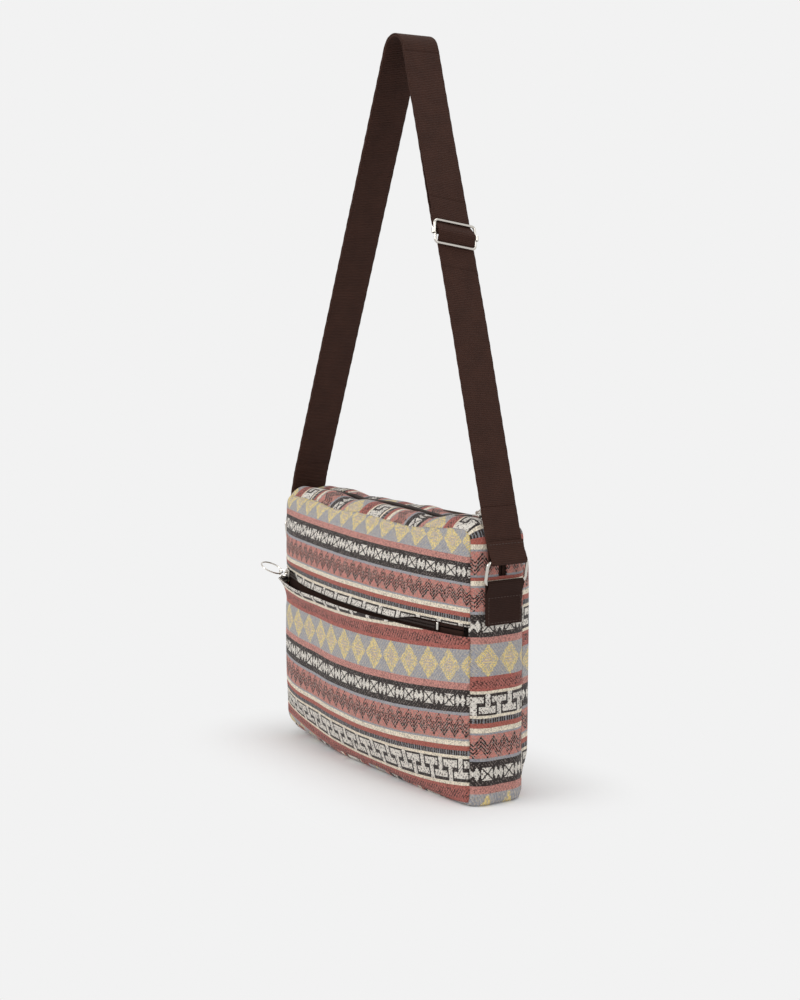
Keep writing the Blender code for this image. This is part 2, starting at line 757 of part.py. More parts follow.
def ring_loop(leg, first, last):
    """Corners of webbing round a ring's upper bar, from one side of the leg to the other."""
    wrap = RING_WIRE + GAP + WEB / 2
    return [leg.at(10 * MM, first * HALF_LAYER, 10 * MM), leg.at(1.5 * MM, first * wrap, 6 * MM),
            leg.at(-wrap, first * wrap, wrap), leg.at(-wrap, last * wrap, wrap),
            leg.at(1.5 * MM, last * wrap, 6 * MM), leg.at(10 * MM, last * HALF_LAYER, 10 * MM)]


def strap_corners():
    """The whole webbing, from its sewn end at the right ring to its sewn end at the adjuster."""
    head, right, left, left_low = strap_legs()
    rail = ADJUSTER_WIRE + GAP + WEB / 2
    over = rail + LAYER
    slope = math.asin((rail + over) / ADJUSTER_RAIL_SPACING)
    dip = ADJUSTER_RAIL_SPACING - rail * math.tan(slope / 2)
    place = ADJUSTER_PLACE
    plane = ADJUSTER_STANDOFF
    calm = 45 * MM

    corners = [right.at(SEWN_END, HALF_LAYER)]
    corners += ring_loop(right, 1, -1)
    corners += [right.at(40 * MM, -HALF_LAYER, 60 * MM),
                right.at(place - 2 * calm, plane - rail, 60 * MM),
                right.at(place - dip, plane - rail, rail),
                right.at(place, plane + over / math.cos(slope), over),
                right.at(place + dip, plane - rail, rail),
                right.at(place + ADJUSTER_TAIL, plane - rail, 60 * MM),
                right.at(place + 2 * calm, HALF_LAYER, 60 * MM)]
    outer = offset_head(head, right, left, HALF_LAYER)
    corners.append((outer.x, outer.y, APEX_RADIUS + HALF_LAYER - WEB / 2))
    corners.append(left.at(0, HALF_LAYER, 80 * MM))
    corners += ring_loop(left_low, 1, -1)
    corners.append(left.at(0, -HALF_LAYER, 80 * MM))
    inner = offset_head(head, right, left, -HALF_LAYER)
    corners.append((inner.x, inner.y, APEX_RADIUS - HALF_LAYER - WEB / 2))

    under = plane - rail - 2 * LAYER
    corners += [right.at(place + 2 * calm, -HALF_LAYER, 60 * MM),
                right.at(place + ADJUSTER_TAIL + 6 * MM, under, 40 * MM),
                right.at(place + ADJUSTER_RAIL_SPACING - 2 * MM, under, 4 * MM),
                right.at(place + 1.2 * MM, plane - rail, 3 * MM),
                right.at(place - rail, plane - rail, rail),
                right.at(place - rail, plane + rail, rail),
                right.at(place + rail * math.tan(slope / 2), plane + rail, rail)]
    flap = rail + LAYER
    corners += [right.at(place + ADJUSTER_RAIL_SPACING - flap * math.tan(slope / 2), plane - flap, flap),
                right.at(place + ADJUSTER_TAIL, plane - flap)]
    return corners, right


def adjuster_shift(right):
    """The webbing lies askew where the adjuster sits askew on it."""
    def shift(point, y):
        along = (point - right.foot).dot(right.up)
        away = abs(along - ADJUSTER_PLACE)
        outside = (point - right.foot).dot(right.out)
        if abs(outside) > 20 * MM:
            return Vector((0, 0))
        weight = 1 - min(1.0, max(0.0, (away - SKEW_HOLD) / SKEW_FADE))
        return right.up * (-y * math.tan(ADJUSTER_SKEW) * weight)
    return shift


def strap(material):
    corners, right = strap_corners()
    stations = Run(corners).stations(math.radians(22.5), 20 * MM)
    return ribbon("strap_webbing", stations, material, WEB_WIDTH, WEB, adjuster_shift(right))


def adjuster(metal):
    """A wire frame with a centre bar crimped round its two side rails."""
    _, right, _, _ = strap_legs()
    spot = right.at(ADJUSTER_PLACE, ADJUSTER_STANDOFF)
    lean = math.atan2(right.up.x, right.up.y)
    seat = add_empty("adjuster_seat", location=(spot[0], 0, spot[1]), rotation=(0, lean, 0))
    tilt = add_empty("adjuster_tilt", parent=seat, rotation=(ADJUSTER_SKEW * -1, 0, 0))
    across = ADJUSTER_INNER_WIDTH + 2 * ADJUSTER_WIRE
    points = rounded_loop(across, 2 * ADJUSTER_RAIL_SPACING, ADJUSTER_CORNER, -ADJUSTER_RAIL_SPACING)
    curve = wire_curve("strap_adjuster_frame", points, ADJUSTER_WIRE, cyclic=True)
    add_object("strap_adjuster_frame", curve, metal, tilt)

    bore = ADJUSTER_WIRE + 0.15 * MM
    sleeve = ADJUSTER_WIRE + 1 * MM
    sleeve_length = 4.5 * MM
    bm = bmesh.new()
    bmesh.ops.create_cone(bm, cap_ends=True, segments=16, radius1=ADJUSTER_WIRE, radius2=ADJUSTER_WIRE,
                          depth=across - 2 * bore, matrix=Matrix.Rotation(math.pi / 2, 4, "X"))
    bar = mesh_object("strap_adjuster_bar", bm, metal, tilt)
    for label, side in (("near", -1), ("far", 1)):
        place = Matrix.Translation((0, side * across / 2, 0))
        for word, radius, length, operation in (("sleeve", sleeve, sleeve_length, "UNION"),
                                                ("bore", bore, 2 * sleeve_length, "DIFFERENCE")):
            bm = bmesh.new()
            bmesh.ops.create_cone(bm, cap_ends=True, segments=16, radius1=radius, radius2=radius,
                                  depth=length, matrix=place)
            boolean(bar, cutter("adjuster_" + word + "_" + label, bm, tilt), operation)


# Inner pieces

def pocket_bag(material):
    """The folded lining pouch that hangs inside behind the front zip."""
    front_depth = BULGE_RADIUS - CLOTH - GAP - TAPE_THICKNESS - 2 * GAP - LINING / 2
    back_depth = front_depth - POCKET_BAG_SLACK
    high_front = POCKET_ZIP_HEIGHT - TAPE_SLIT - 3 * MM
    high_back = POCKET_ZIP_HEIGHT + TAPE_WIDTH
    turn = POCKET_BAG_SLACK / 2
    run = Run([(front_depth, high_front), (front_depth, POCKET_BAG_FLOOR, turn),
               (back_depth, POCKET_BAG_FLOOR, turn), (back_depth, high_back)])
    stations = run.stations(math.radians(45), 30 * MM)
    left = math.asin(POCKET_ZIP_LEFT / BULGE_RADIUS) + 4 * MM / BULGE_RADIUS
    right = math.asin(POCKET_ZIP_RIGHT / BULGE_RADIUS)
    rows = 16

    def place(column, row):
        point, _ = stations[column]
        angle = left + (right - left) * row / rows
        hang = (point.y - POCKET_BAG_FLOOR) / (POCKET_ZIP_HEIGHT - POCKET_BAG_FLOOR)
        height = point.y + zip_shift(point.x * math.sin(angle)) * hang
        slack = 1 - swell((height - PANEL_MIDDLE) / PANEL_HALF_HEIGHT)
        radius = point.x - slack * (PANEL_BULGE - EDGE_BULGE)
        return Vector((radius * math.sin(angle), BULGE_CENTRE_Y - radius * math.cos(angle), height))

    return sheet("pocket_bag", len(stations) - 1, rows, place, material, LINING, offset=0.0)


def main_lining(material):
    """The lining of the main compartment: a sack, open along the top under the zip."""
    around = 32
    low = BASE_SEAM_HEIGHT + CLOTH + LINING_EASE
    high = TOP_SEAM_HEIGHT
    levels = 7
    front_clear = CLOTH + TAPE_THICKNESS + 6 * GAP + LINING + POCKET_BAG_SLACK + LINING_EASE

    def sewn_edge(x, y):
        """Height of the sack's mouth: close under the top strips and the zip tapes."""
        span = min(1.0, abs(x) / (HALF_WIDTH - TOP_CORNER))
        half = HALF_DEPTH + EDGE_BULGE * (1 - span ** 2) - CLOTH - GAP
        inner = TOP_SEAM_HEIGHT + TOP_CROWN * swell(y / half) - CLOTH
        tapes = TAPE_THICKNESS + 2 * GAP if abs(y) < TAPE_WIDTH + 6 * MM else 0.0
        return inner - tapes - 1.5 * GAP

    def place(column, row):
        turn = 2 * math.pi * column / around
        share = row / levels
        height = low + (high - low) * max(0.0, share - 1 / levels) / (1 - 1 / levels)
        spread = min(1.0, row / 1.0)
        across = math.copysign(abs(math.cos(turn)) ** 0.35, math.cos(turn))
        depthwise = math.copysign(abs(math.sin(turn)) ** 0.35, math.sin(turn))
        span = half_width_at(max(height, BASE_SEAM_HEIGHT + 3 * MM)) - CLOTH - LINING_EASE
        clear = panel_depth(across * 0.98, max(height, BASE_SEAM_HEIGHT)) - front_clear
        narrow = min(1.0, (TOP_SEAM_HEIGHT + 2 * MM - height) / (22 * MM))
        reach = (HALF_DEPTH - front_clear) * (1 - narrow) + clear * narrow
        if row == levels:
            height = sewn_edge(across * span, depthwise * reach)
        return Vector((across * span, depthwise * reach * spread, height))

    bm = bmesh.new()
    bmesh.ops.create_grid(bm, x_segments=around, y_segments=levels, size=1.0)
    for vert in bm.verts:
        column = round((vert.co.x + 1) / 2 * around)
        row = round((vert.co.y + 1) / 2 * levels)
        vert.co = place(column, row)
    bmesh.ops.remove_doubles(bm, verts=bm.verts, dist=0.01 * MM)
    mesh = bpy.data.meshes.new("main_lining")
    bm.to_mesh(mesh)
    bm.free()
    soften(mesh, 60)
    lining = add_object("main_lining", mesh, material)
    shell = lining.modifiers.new("thickness", "SOLIDIFY")
    shell.thickness = LINING
    shell.offset = -1.0
    return lining


def build():
    cloth = new_material("jacquard_cloth", (0.42, 0.30, 0.27), 0.9)
    plain = new_material("lining_cloth", (0.16, 0.12, 0.10), 0.85)
    tape = new_material("zip_tape", (0.035, 0.018, 0.013), 0.85)
    web = new_material("strap_web", (0.045, 0.024, 0.017), 0.8)
    teeth = new_material("zip_teeth", (0.05, 0.035, 0.03), 0.5)
    nickel = new_material("nickel", (0.62, 0.60, 0.57), 0.22, 1.0)

    upper_edge = POCKET_ZIP_HEIGHT + UPPER_EDGE_RISE
    lip_edge = POCKET_ZIP_HEIGHT - LIP_DROP
    panel("front_upper_panel", -1, upper_edge, TOP_SEAM_HEIGHT, 5, cloth)
    panel("front_lower_panel", -1, BASE_SEAM_HEIGHT, lip_edge, 8, cloth, pocket_lip)
    panel("back_panel", 1, BASE_SEAM_HEIGHT, TOP_SEAM_HEIGHT, 9, cloth)
    gusset(cloth)
    top_strip("top_strip_front", -1, cloth)
    top_strip("top_strip_back", 1, cloth)
    front_zip(tape, nickel, teeth)
    main_zip(tape, nickel, teeth)
    pocket_bag(plain)
    main_lining(plain)
    for name, side in (("right", 1), ("left", -1)):
        tab("tab_" + name, side, web)
        ring("ring_" + name, side, nickel)
    strap(web)
    adjuster(nickel)


clear_scene()
PARTS = new_collection("crossbody_bag")
CUTTERS = new_collection("cutters")
build()
bpy.context.view_layer.update()
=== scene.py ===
# %% [markdown]
# A crossbody bag in banded jacquard. The CAD solids are loaded as a fixed frame, and this
# lesson dresses them: soft pieces are rebuilt with the folds, seams and weave of real
# cloth, and hard pieces get finer metal. Everything is in metres, with the front at -Y.

# %% Load the frame
import math

import bmesh
import bpy
from mathutils import Matrix, Vector


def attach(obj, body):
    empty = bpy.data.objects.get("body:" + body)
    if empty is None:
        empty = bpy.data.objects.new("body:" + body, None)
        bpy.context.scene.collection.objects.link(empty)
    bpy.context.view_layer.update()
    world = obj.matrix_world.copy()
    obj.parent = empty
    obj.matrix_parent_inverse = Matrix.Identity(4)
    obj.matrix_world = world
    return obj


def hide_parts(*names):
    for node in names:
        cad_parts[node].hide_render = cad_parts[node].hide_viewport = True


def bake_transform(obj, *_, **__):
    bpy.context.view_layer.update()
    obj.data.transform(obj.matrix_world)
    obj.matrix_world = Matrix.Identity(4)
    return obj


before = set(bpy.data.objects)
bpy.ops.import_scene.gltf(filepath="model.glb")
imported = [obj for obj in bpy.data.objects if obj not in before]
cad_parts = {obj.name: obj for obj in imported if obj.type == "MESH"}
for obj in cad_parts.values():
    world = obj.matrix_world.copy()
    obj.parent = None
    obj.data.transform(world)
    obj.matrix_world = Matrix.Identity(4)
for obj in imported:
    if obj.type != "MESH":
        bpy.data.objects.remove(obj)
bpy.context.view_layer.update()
MM = 0.001

# %% [markdown]
# The camera stands to the right of the bag and a little above its middle, where the
# photograph was taken from. Its place and lens come from a fit to the bag's seams.

# %% Camera
camera_data = bpy.data.cameras.new("photo_camera")
camera_data.lens = 61.0
camera_data.sensor_width = 36.0
camera = bpy.data.objects.new("photo_camera", camera_data)
camera.location = (1.31774, -0.87605, 0.43754)
camera.rotation_euler = (math.pi / 2 - 0.11651, 0, 0.98214)
bpy.context.scene.collection.objects.link(camera)
bpy.context.scene.camera = camera
print("camera at", tuple(camera.location))


# %% [markdown]
# Colours are picked as they look on a screen, in sRGB hex, and Blender mixes light in
# linear values, so one function turns one into the other.

# %% Colours
def linear(code):
    """An sRGB hex colour as linear red, green, blue and alpha."""
    channels = []
    for place in (1, 3, 5):
        value = int(code[place:place + 2], 16) / 255
        channels.append(value / 12.92 if value <= 0.04045 else ((value + 0.055) / 1.055) ** 2.4)
    return (*channels, 1.0)


print("half grey on a screen is", round(linear("#808080")[0], 3), "of the light of white")


# %% [markdown]
# Every material here is a node tree. It could be wired by hand in Blender's editor, but
# in code it can be read and changed. One helper adds a node, sets its options and wires
# its inputs, so that a pattern reads as a short chain of named steps. A noise node's
# scale counts its blotches to the metre.

# %% Material helpers
def add(tree, kind, *values, **inputs):
    """Adds a node. A kind in capitals is an operation of the Math node, and a dict holds
    settings. Other values are inputs, in order or by input name or number: a number, a
    colour, a socket, or a node, which gives its first output."""
    settings = {}
    if values and isinstance(values[0], dict):
        settings, *values = values
    if kind.isupper():
        kind, settings = "Math", {"operation": kind}
    node = tree.nodes.new("ShaderNode" + kind)
    for name, value in settings.items():
        setattr(node, name, value)
    wanted = dict(enumerate(values))
    for name, value in inputs.items():
        wanted[int(name[1:]) if name[1:].isdigit() else name.replace("_", " ")] = value
    for place, value in wanted.items():
        if isinstance(value, bpy.types.Node):
            value = value.outputs[0]
        if isinstance(value, bpy.types.NodeSocket):
            tree.links.new(value, node.inputs[place])
        else:
            node.inputs[place].default_value = value
    return node


def new_material(name, **principled):
    material = bpy.data.materials.new(name)
    material.use_nodes = True
    tree = material.node_tree
    shader = tree.nodes["Principled BSDF"]
    for key, value in principled.items():
        shader.inputs[key.replace("_", " ")].default_value = value
    return material, tree, shader


print("node helpers ready")


# %% [markdown]
# The cloth is a jacquard: the loom lifts threads of several colours to draw the pattern,
# so every edge steps from thread to thread and each flat area is flecked with the threads
# beneath. The pattern is one repeat, 24 mm wide and 129.5 mm long, drawn in bands. It
# could be a printed picture, but formulas stay sharp at any distance and can be changed.
# Each sewn piece carries cloth coordinates that count these repeats, so that the bands
# run straight through it and follow its folds. Real threads lie about 0.4 mm apart, and
# the stitches here are drawn at 0.8 mm, so that they show.

# %% The bands of the cloth, as share of the repeat, ground, motif and fleck
REPEAT_WIDTH = 24 * MM
REPEAT_LENGTH = 129.5 * MM
STITCHES_ACROSS = 30
STITCHES_ALONG = 150
GREY, GREY_FLECK = "#94949a", "#c0b7ac"
YELLOW, CREAM, WHITE = "#d5c083", "#e0d4c0", "#d6d0c7"
PINK, CORAL, RED = "#be857b", "#a65e54", "#a0564a"
DARK, DARK_FLECK = "#2b2321", "#7a6f69"
BANDS = [
    ("diamonds", 0.216, GREY, YELLOW, GREY_FLECK, 0.42),
    ("pink", 0.046, PINK, PINK, "#a6766d", 0.36),
    ("dark over arrows", 0.037, DARK, DARK, DARK_FLECK, 0.28),
    ("arrows", 0.082, DARK, WHITE, DARK_FLECK, 0.20),
    ("dark under arrows", 0.037, DARK, DARK, DARK_FLECK, 0.28),
    ("grey line", 0.019, GREY, GREY, "#b4aca4", 0.3),
    ("zigzag", 0.159, "#bb7b70", DARK, "#a9948b", 0.28),
    ("grey line two", 0.016, GREY, GREY, "#b4aca4", 0.3),
    ("cream", 0.035, CREAM, CREAM, "#c9bda9", 0.2),
    ("red", 0.029, RED, RED, "#b87166", 0.3),
    ("teeth", 0.038, "#7d7d81", DARK, DARK_FLECK, 0.22),
    ("cream line", 0.016, CREAM, CREAM, "#c9bda9", 0.15),
    ("key", 0.147, DARK, WHITE, "#6a605b", 0.24),
    ("cream line two", 0.020, CREAM, CREAM, "#c9bda9", 0.15),
    ("red line", 0.020, CORAL, CORAL, "#8a4a41", 0.26),
    ("speckle", 0.056, "#ab675d", DARK, "#8d5048", 0.36),
    ("red line two", 0.027, CORAL, CORAL, "#8a4a41", 0.26),
]
BAND_START = {}
reach = 0.0
for band in BANDS:
    BAND_START[band[0]] = reach
    reach += band[1]
BAND_SHARE = {band[0]: band[1] for band in BANDS}
print("bands add up to", round(reach, 3))


# %% A ramp of flat bands
def band_ramp(tree, along, column):
    """A colour ramp with one flat step per band, taking its colour from a column of BANDS."""
    ramp = add(tree, "ValToRGB", Fac=along)
    ramp.color_ramp.interpolation = "CONSTANT"
    elements = ramp.color_ramp.elements
    elements.remove(elements[1])
    for index, band in enumerate(BANDS):
        stop = elements[0] if index == 0 else elements.new(BAND_START[band[0]])
        stop.position = BAND_START[band[0]]
        value = band[column]
        stop.color = linear(value) if isinstance(value, str) else (value, value, value, 1)
    return ramp.outputs["Color"]


# %% [markdown]
# A motif is a small drawing inside one band. It is made from distances: a diamond is
# where the distances across and along add up to less than one, and a zigzag is a band
# whose middle line goes up and down. All of them read the stepped cloth coordinates, so
# their edges step as woven ones do.

# %% Motifs of the jacquard
def inside(tree, along, name):
    """1 within a band and 0 outside it, and the height within the band from 0 to 1."""
    height = add(tree, "DIVIDE", add(tree, "SUBTRACT", along, BAND_START[name]), BAND_SHARE[name])
    above = add(tree, "GREATER_THAN", height, 0.0)
    below = add(tree, "LESS_THAN", height, 1.0)
    return add(tree, "MULTIPLY", above, below), height


def apart(tree, first, second):
    """How far two values lie from each other, either way."""
    return add(tree, "ABSOLUTE", add(tree, "SUBTRACT", first, second))


def from_middle(tree, across, middle, count=1.0):
    """Distance from the nearest repeat of a motif's middle, from 0 to 0.5."""
    shifted = add(tree, "ADD", add(tree, "MULTIPLY", across, count), 0.5 - middle)
    return apart(tree, add(tree, "FRACT", shifted), 0.5)


def both(tree, first, second):
    return add(tree, "MULTIPLY", first, second)


def either(tree, first, second):
    return add(tree, "MAXIMUM", first, second)


def less(tree, first, second):
    return add(tree, "LESS_THAN", first, second)


def diamond_shape(tree, across, height, half_width, half_height):
    """A diamond in each repeat, with its half sizes as shares of the repeat and the band."""
    wide = add(tree, "DIVIDE", from_middle(tree, across, 0.0), half_width)
    tall = add(tree, "DIVIDE", apart(tree, height, 0.5), half_height)
    return less(tree, add(tree, "ADD", wide, tall), 1.0)


def full_diamonds(tree, across, height):
    return diamond_shape(tree, across, height, 0.49, 0.53)


def teeth_shape(tree, across, height):
    """Nine short upright bars in each repeat."""
    return less(tree, from_middle(tree, across, 0.0, 9.0), 0.26)


def arrow_shape(tree, across, height):
    """A crossed square and, half a repeat away, a bow of two arrowheads."""
    up = apart(tree, height, 0.5)
    side = from_middle(tree, across, 0.0)
    square = both(tree, less(tree, side, 0.25), less(tree, up, 0.5))
    cross_line = apart(tree, add(tree, "MULTIPLY", side, 2.0), up)
    crossed = both(tree, square, add(tree, "GREATER_THAN", cross_line, 0.075))
    other = from_middle(tree, across, 0.5)
    head = apart(tree, other, 0.115)
    points = less(tree, add(tree, "ADD", add(tree, "MULTIPLY", head, 4.2), up), 0.52)
    link = both(tree, less(tree, other, 0.12), less(tree, up, 0.14))
    bow = either(tree, points, link)
    slit = both(tree, less(tree, other, 0.02), add(tree, "GREATER_THAN", up, 0.16))
    return either(tree, crossed, both(tree, bow, add(tree, "SUBTRACT", 1.0, slit)))


def key_shape(tree, across, height):
    """A standing T and a hanging T, locked into each other."""
    level, half_bar, half_length, half_stem = 0.27, 0.14, 0.34, 0.085
    other_level = 1 - level
    side = from_middle(tree, across, 0.0)
    other = from_middle(tree, across, 0.5)
    bar = both(tree, less(tree, apart(tree, height, level), half_bar), less(tree, side, half_length))
    stem = both(tree, less(tree, side, half_stem), add(tree, "GREATER_THAN", height, level))
    low_bar = both(tree, less(tree, apart(tree, height, other_level), half_bar),
                   less(tree, other, half_length))
    low_stem = both(tree, less(tree, other, half_stem), less(tree, height, other_level))
    return either(tree, either(tree, bar, stem), either(tree, low_bar, low_stem))


def zigzag_shape(tree, across, height):
    """Thin zigzag lines stacked close over each other."""
    swing, lowest, half_stack, lines, thickness = 0.78, 0.31, 0.30, 6.0, 0.64
    wave = from_middle(tree, across, 0.0, 2.0)
    middle = add(tree, "MULTIPLY_ADD", wave, swing, lowest)
    away = add(tree, "SUBTRACT", height, middle)
    near = less(tree, add(tree, "ABSOLUTE", away), half_stack)
    return both(tree, near, less(tree, add(tree, "FRACT", add(tree, "MULTIPLY", away, lines)), thickness))


MOTIFS = {"diamonds": full_diamonds, "arrows": arrow_shape, "key": key_shape, "zigzag": zigzag_shape,
          "teeth": teeth_shape}
print("motifs in", sorted(MOTIFS))


# %% [markdown]
# Cotton jacquard is matte and dense. To the eye it is many threads of a few colours, each
# a shade apart from the next, with a faint slant from the twill that binds them. So the
# material first counts stitches, then picks each stitch's colour from its band, its motif
# and a chance of fleck, and last gives it a shade and a little relief.

# %% The colour of each stitch
HEART, SPECK = "#bfab98", "#3c2825"
RGBA = {"data_type": "RGBA"}


def fleck_chance(tree, stitch_across, stitch_along):
    """A number for each stitch, and its place in the four-stitch twill."""
    cell = add(tree, "CombineXYZ", X=stitch_across, Y=stitch_along)
    chance = add(tree, "TexWhiteNoise", {"noise_dimensions": "2D"}, Vector=cell)
    twill = add(tree, "FRACT", add(tree, "MULTIPLY", add(tree, "ADD", stitch_across, stitch_along), 0.25))
    return chance, twill


def stitch_colour(tree, across, along, stitch_along, chance, twill):
    """The colour of a stitch, from its band and motif, the diamonds' hearts and the flecks."""
    motif = None
    for band, draw in MOTIFS.items():
        window, height = inside(tree, along, band)
        shape = both(tree, window, draw(tree, across, height))
        motif = shape if motif is None else either(tree, motif, shape)
    base = add(tree, "Mix", RGBA, i0=motif, i6=band_ramp(tree, along, 2), i7=band_ramp(tree, along, 3))

    window, height = inside(tree, along, "diamonds")
    heart = both(tree, window, diamond_shape(tree, across, height, 0.24, 0.26))
    rows = less(tree, add(tree, "FRACT", add(tree, "MULTIPLY", stitch_along, 1 / 3)), 0.5)
    tinted = add(tree, "Mix", RGBA, i0=both(tree, heart, rows), i6=base.outputs[2], i7=linear(HEART))

    window, height = inside(tree, along, "speckle")
    slanting = add(tree, "FRACT", add(tree, "MULTIPLY_ADD", chance, 0.45, twill))
    dots = both(tree, window, less(tree, slanting, 0.46))
    speckled = add(tree, "Mix", RGBA, i0=dots, i6=tinted.outputs[2], i7=linear(SPECK))

    odds = add(tree, "ADD", add(tree, "MULTIPLY", chance, 0.62), add(tree, "MULTIPLY", twill, 0.5))
    flecked = less(tree, odds, band_ramp(tree, along, 5))
    return add(tree, "Mix", RGBA, i0=flecked, i6=speckled.outputs[2], i7=band_ramp(tree, along, 4))


print("each repeat has", STITCHES_ACROSS, "by", STITCHES_ALONG, "stitches")


# %% The jacquard material
THREAD_LIFT = 0.22 * MM
SLACK_SCALE, SLACK_LIFT = 34.0, 3.5 * MM
DARKEST, SHADE_SPREAD = 0.72, 0.58


def jacquard(name):
    """Dense cotton jacquard, matte, with a slight lift of the threads."""
    material, tree, shader = new_material(name, Roughness=0.88, Sheen_Weight=0.12, Sheen_Roughness=0.6)
    shader.inputs["Specular IOR Level"].default_value = 0.25
    cloth = add(tree, "SeparateXYZ", Vector=add(tree, "UVMap", {"uv_map": "cloth"}))
    repeats_across, repeats_along = cloth.outputs[0], cloth.outputs[1]
    stitch_across = add(tree, "FLOOR", add(tree, "MULTIPLY", repeats_across, float(STITCHES_ACROSS)))
    stitch_along = add(tree, "FLOOR", add(tree, "MULTIPLY", repeats_along, float(STITCHES_ALONG)))
    across = add(tree, "DIVIDE", add(tree, "ADD", stitch_across, 0.5), float(STITCHES_ACROSS))
    middle_along = add(tree, "DIVIDE", add(tree, "ADD", stitch_along, 0.5), float(STITCHES_ALONG))
    along = add(tree, "FRACT", middle_along)

    chance, twill = fleck_chance(tree, stitch_across, stitch_along)
    colour = stitch_colour(tree, across, along, stitch_along, chance, twill)
    shade = add(tree, "MULTIPLY_ADD", chance, SHADE_SPREAD, DARKEST)
    tone = add(tree, "CombineColor", Red=shade, Green=shade, Blue=shade)
    shading = {"data_type": "RGBA", "blend_type": "MULTIPLY"}
    woven = add(tree, "Mix", shading, i0=1.0, i6=colour.outputs[2], i7=tone)
    tree.links.new(woven.outputs[2], shader.inputs["Base Color"])

    warp = add(tree, "SINE", add(tree, "MULTIPLY", repeats_across, STITCHES_ACROSS * 2 * math.pi))
    weft = add(tree, "SINE", add(tree, "MULTIPLY", repeats_along, STITCHES_ALONG * 2 * math.pi))
    ridge = add(tree, "ADD", add(tree, "MULTIPLY", warp, weft), add(tree, "MULTIPLY", chance, 0.6))
    threads = add(tree, "Bump", Strength=0.5, Distance=THREAD_LIFT, Height=ridge)
    place = add(tree, "TexCoord").outputs["Object"]
    slack = add(tree, "TexNoise", Vector=place, Scale=SLACK_SCALE, Detail=3.0, Roughness=0.5)
    soft = add(tree, "Bump", Strength=0.35, Distance=SLACK_LIFT, Height=slack, Normal=threads)
    tree.links.new(soft.outputs[0], shader.inputs["Normal"])
    return material


JACQUARD = jacquard("cotton_jacquard")
print("jacquard nodes", len(JACQUARD.node_tree.nodes))


# %% [markdown]
# The strap is woven polypropylene webbing. Its weft packs into fine ribs across the
# strap, and its yarn has a faint gloss where it turns over each rib. The ribs are drawn
# 1.6 mm apart, a little coarser than real ones, so that they show, and their colour is
# painted lighter on the crests and darker in the grooves, as painted shade. The tabs are
# cut from the same webbing and pressed flat; their darker colours are painted shade, for
# the shadow they hang in under the rings. The zip's tape is a finer, matte weave, and
# the lining is plain cloth. All four are one pattern of ribs at four sizes, so one
# function makes them.

# %% Webbing, tape and lining
WARP_SPACING = 1.1 * MM
WOBBLE, WOBBLE_SCALE = 0.9 * MM, 220.0
PATCH_SCALE = 60.0


def ribbed_cloth(name, colour, dark, rib, roughness, lift):
    """Woven tape: cloth coordinates count metres across (U) and along (V) the strap."""
    material, tree, shader = new_material(name, Roughness=roughness)
    shader.inputs["Specular IOR Level"].default_value = 0.16
    cloth = add(tree, "UVMap", {"uv_map": "cloth"})
    parts = add(tree, "SeparateXYZ", Vector=cloth)
    flat = {"noise_dimensions": "2D"}
    wobble = add(tree, "TexNoise", flat, Vector=cloth, Scale=WOBBLE_SCALE, Detail=2.0)
    along = add(tree, "MULTIPLY_ADD", wobble, WOBBLE, parts.outputs[1])
    ribs = add(tree, "SINE", add(tree, "MULTIPLY", along, 2 * math.pi / rib))
    warp = add(tree, "SINE", add(tree, "MULTIPLY", parts.outputs[0], 2 * math.pi / WARP_SPACING))
    height = add(tree, "MULTIPLY_ADD", warp, 0.35, ribs)
    # Painted shade: the colour is darker in the grooves between the ribs and lighter on their crests. The noise
    # patches mixed in are random tone.
    depth = add(tree, "MULTIPLY_ADD", height, 0.25, 0.5)
    patch = add(tree, "TexNoise", flat, Vector=cloth, Scale=PATCH_SCALE, Detail=4.0)
    groove_shade_and_patches = add(tree, "ADD", add(tree, "MULTIPLY", depth, 0.7), add(tree, "MULTIPLY", patch, 0.4))
    mixed = add(tree, "Mix", RGBA, i0=groove_shade_and_patches, i6=linear(dark), i7=linear(colour))
    tree.links.new(mixed.outputs[2], shader.inputs["Base Color"])
    bump = add(tree, "Bump", Strength=0.7, Distance=lift, Height=height)
    tree.links.new(bump.outputs[0], shader.inputs["Normal"])
    return material


WEB_RIB = 1.6 * MM
WEBBING = ribbed_cloth("polypropylene_webbing", "#4c3026", "#22130e", WEB_RIB, 0.72, 0.3 * MM)
# The tab webbing is the strap's webbing, with its colours darkened as painted shade.
SHADED_TAB_WEBBING = ribbed_cloth("tab_webbing_painted_shade", "#38221b", "#1b0f0b", WEB_RIB, 0.78, 0.2 * MM)
ZIP_TAPE = ribbed_cloth("zip_tape_cloth", "#3f2a22", "#1e120e", 1.2 * MM, 0.85, 0.2 * MM)
LINING = ribbed_cloth("plain_lining_cloth", "#6c6059", "#564b45", 0.9 * MM, 0.85, 0.1 * MM)
print("ribbed cloths", [cloth.name for cloth in (WEBBING, SHADED_TAB_WEBBING, ZIP_TAPE, LINING)])


# %% [markdown]
# The rings, the adjuster and the sliders are steel or zinc with bright nickel plate. It
# is a mirror with a warm grey cast, dulled a little by handling, so the roughness is low
# and varies softly. The zip's coil is nylon, with the soft gloss of a moulded thread, and
# the stitches are twisted polyester. Wear and twist come from fine noise, because a
# single value would look like paint.

# %% Metal and nylon
WEAR_SCALE = 420.0


def nickel_plate(name, low, high):
    material, tree, shader = new_material(name, Base_Color=linear("#cdc8c0"), Metallic=1.0)
    place = add(tree, "TexCoord").outputs["Object"]
    wear = add(tree, "TexNoise", Vector=place, Scale=WEAR_SCALE, Detail=5.0, Roughness=0.6)
    spread = add(tree, "MapRange", Value=wear, From_Min=0.35, From_Max=0.7, To_Min=low, To_Max=high)
    tree.links.new(spread.outputs[0], shader.inputs["Roughness"])
    bump = add(tree, "Bump", Strength=0.12, Distance=0.05 * MM, Height=wear)
    tree.links.new(bump.outputs[0], shader.inputs["Normal"])
    return material


NICKEL = nickel_plate("bright_nickel_plate", 0.12, 0.28)


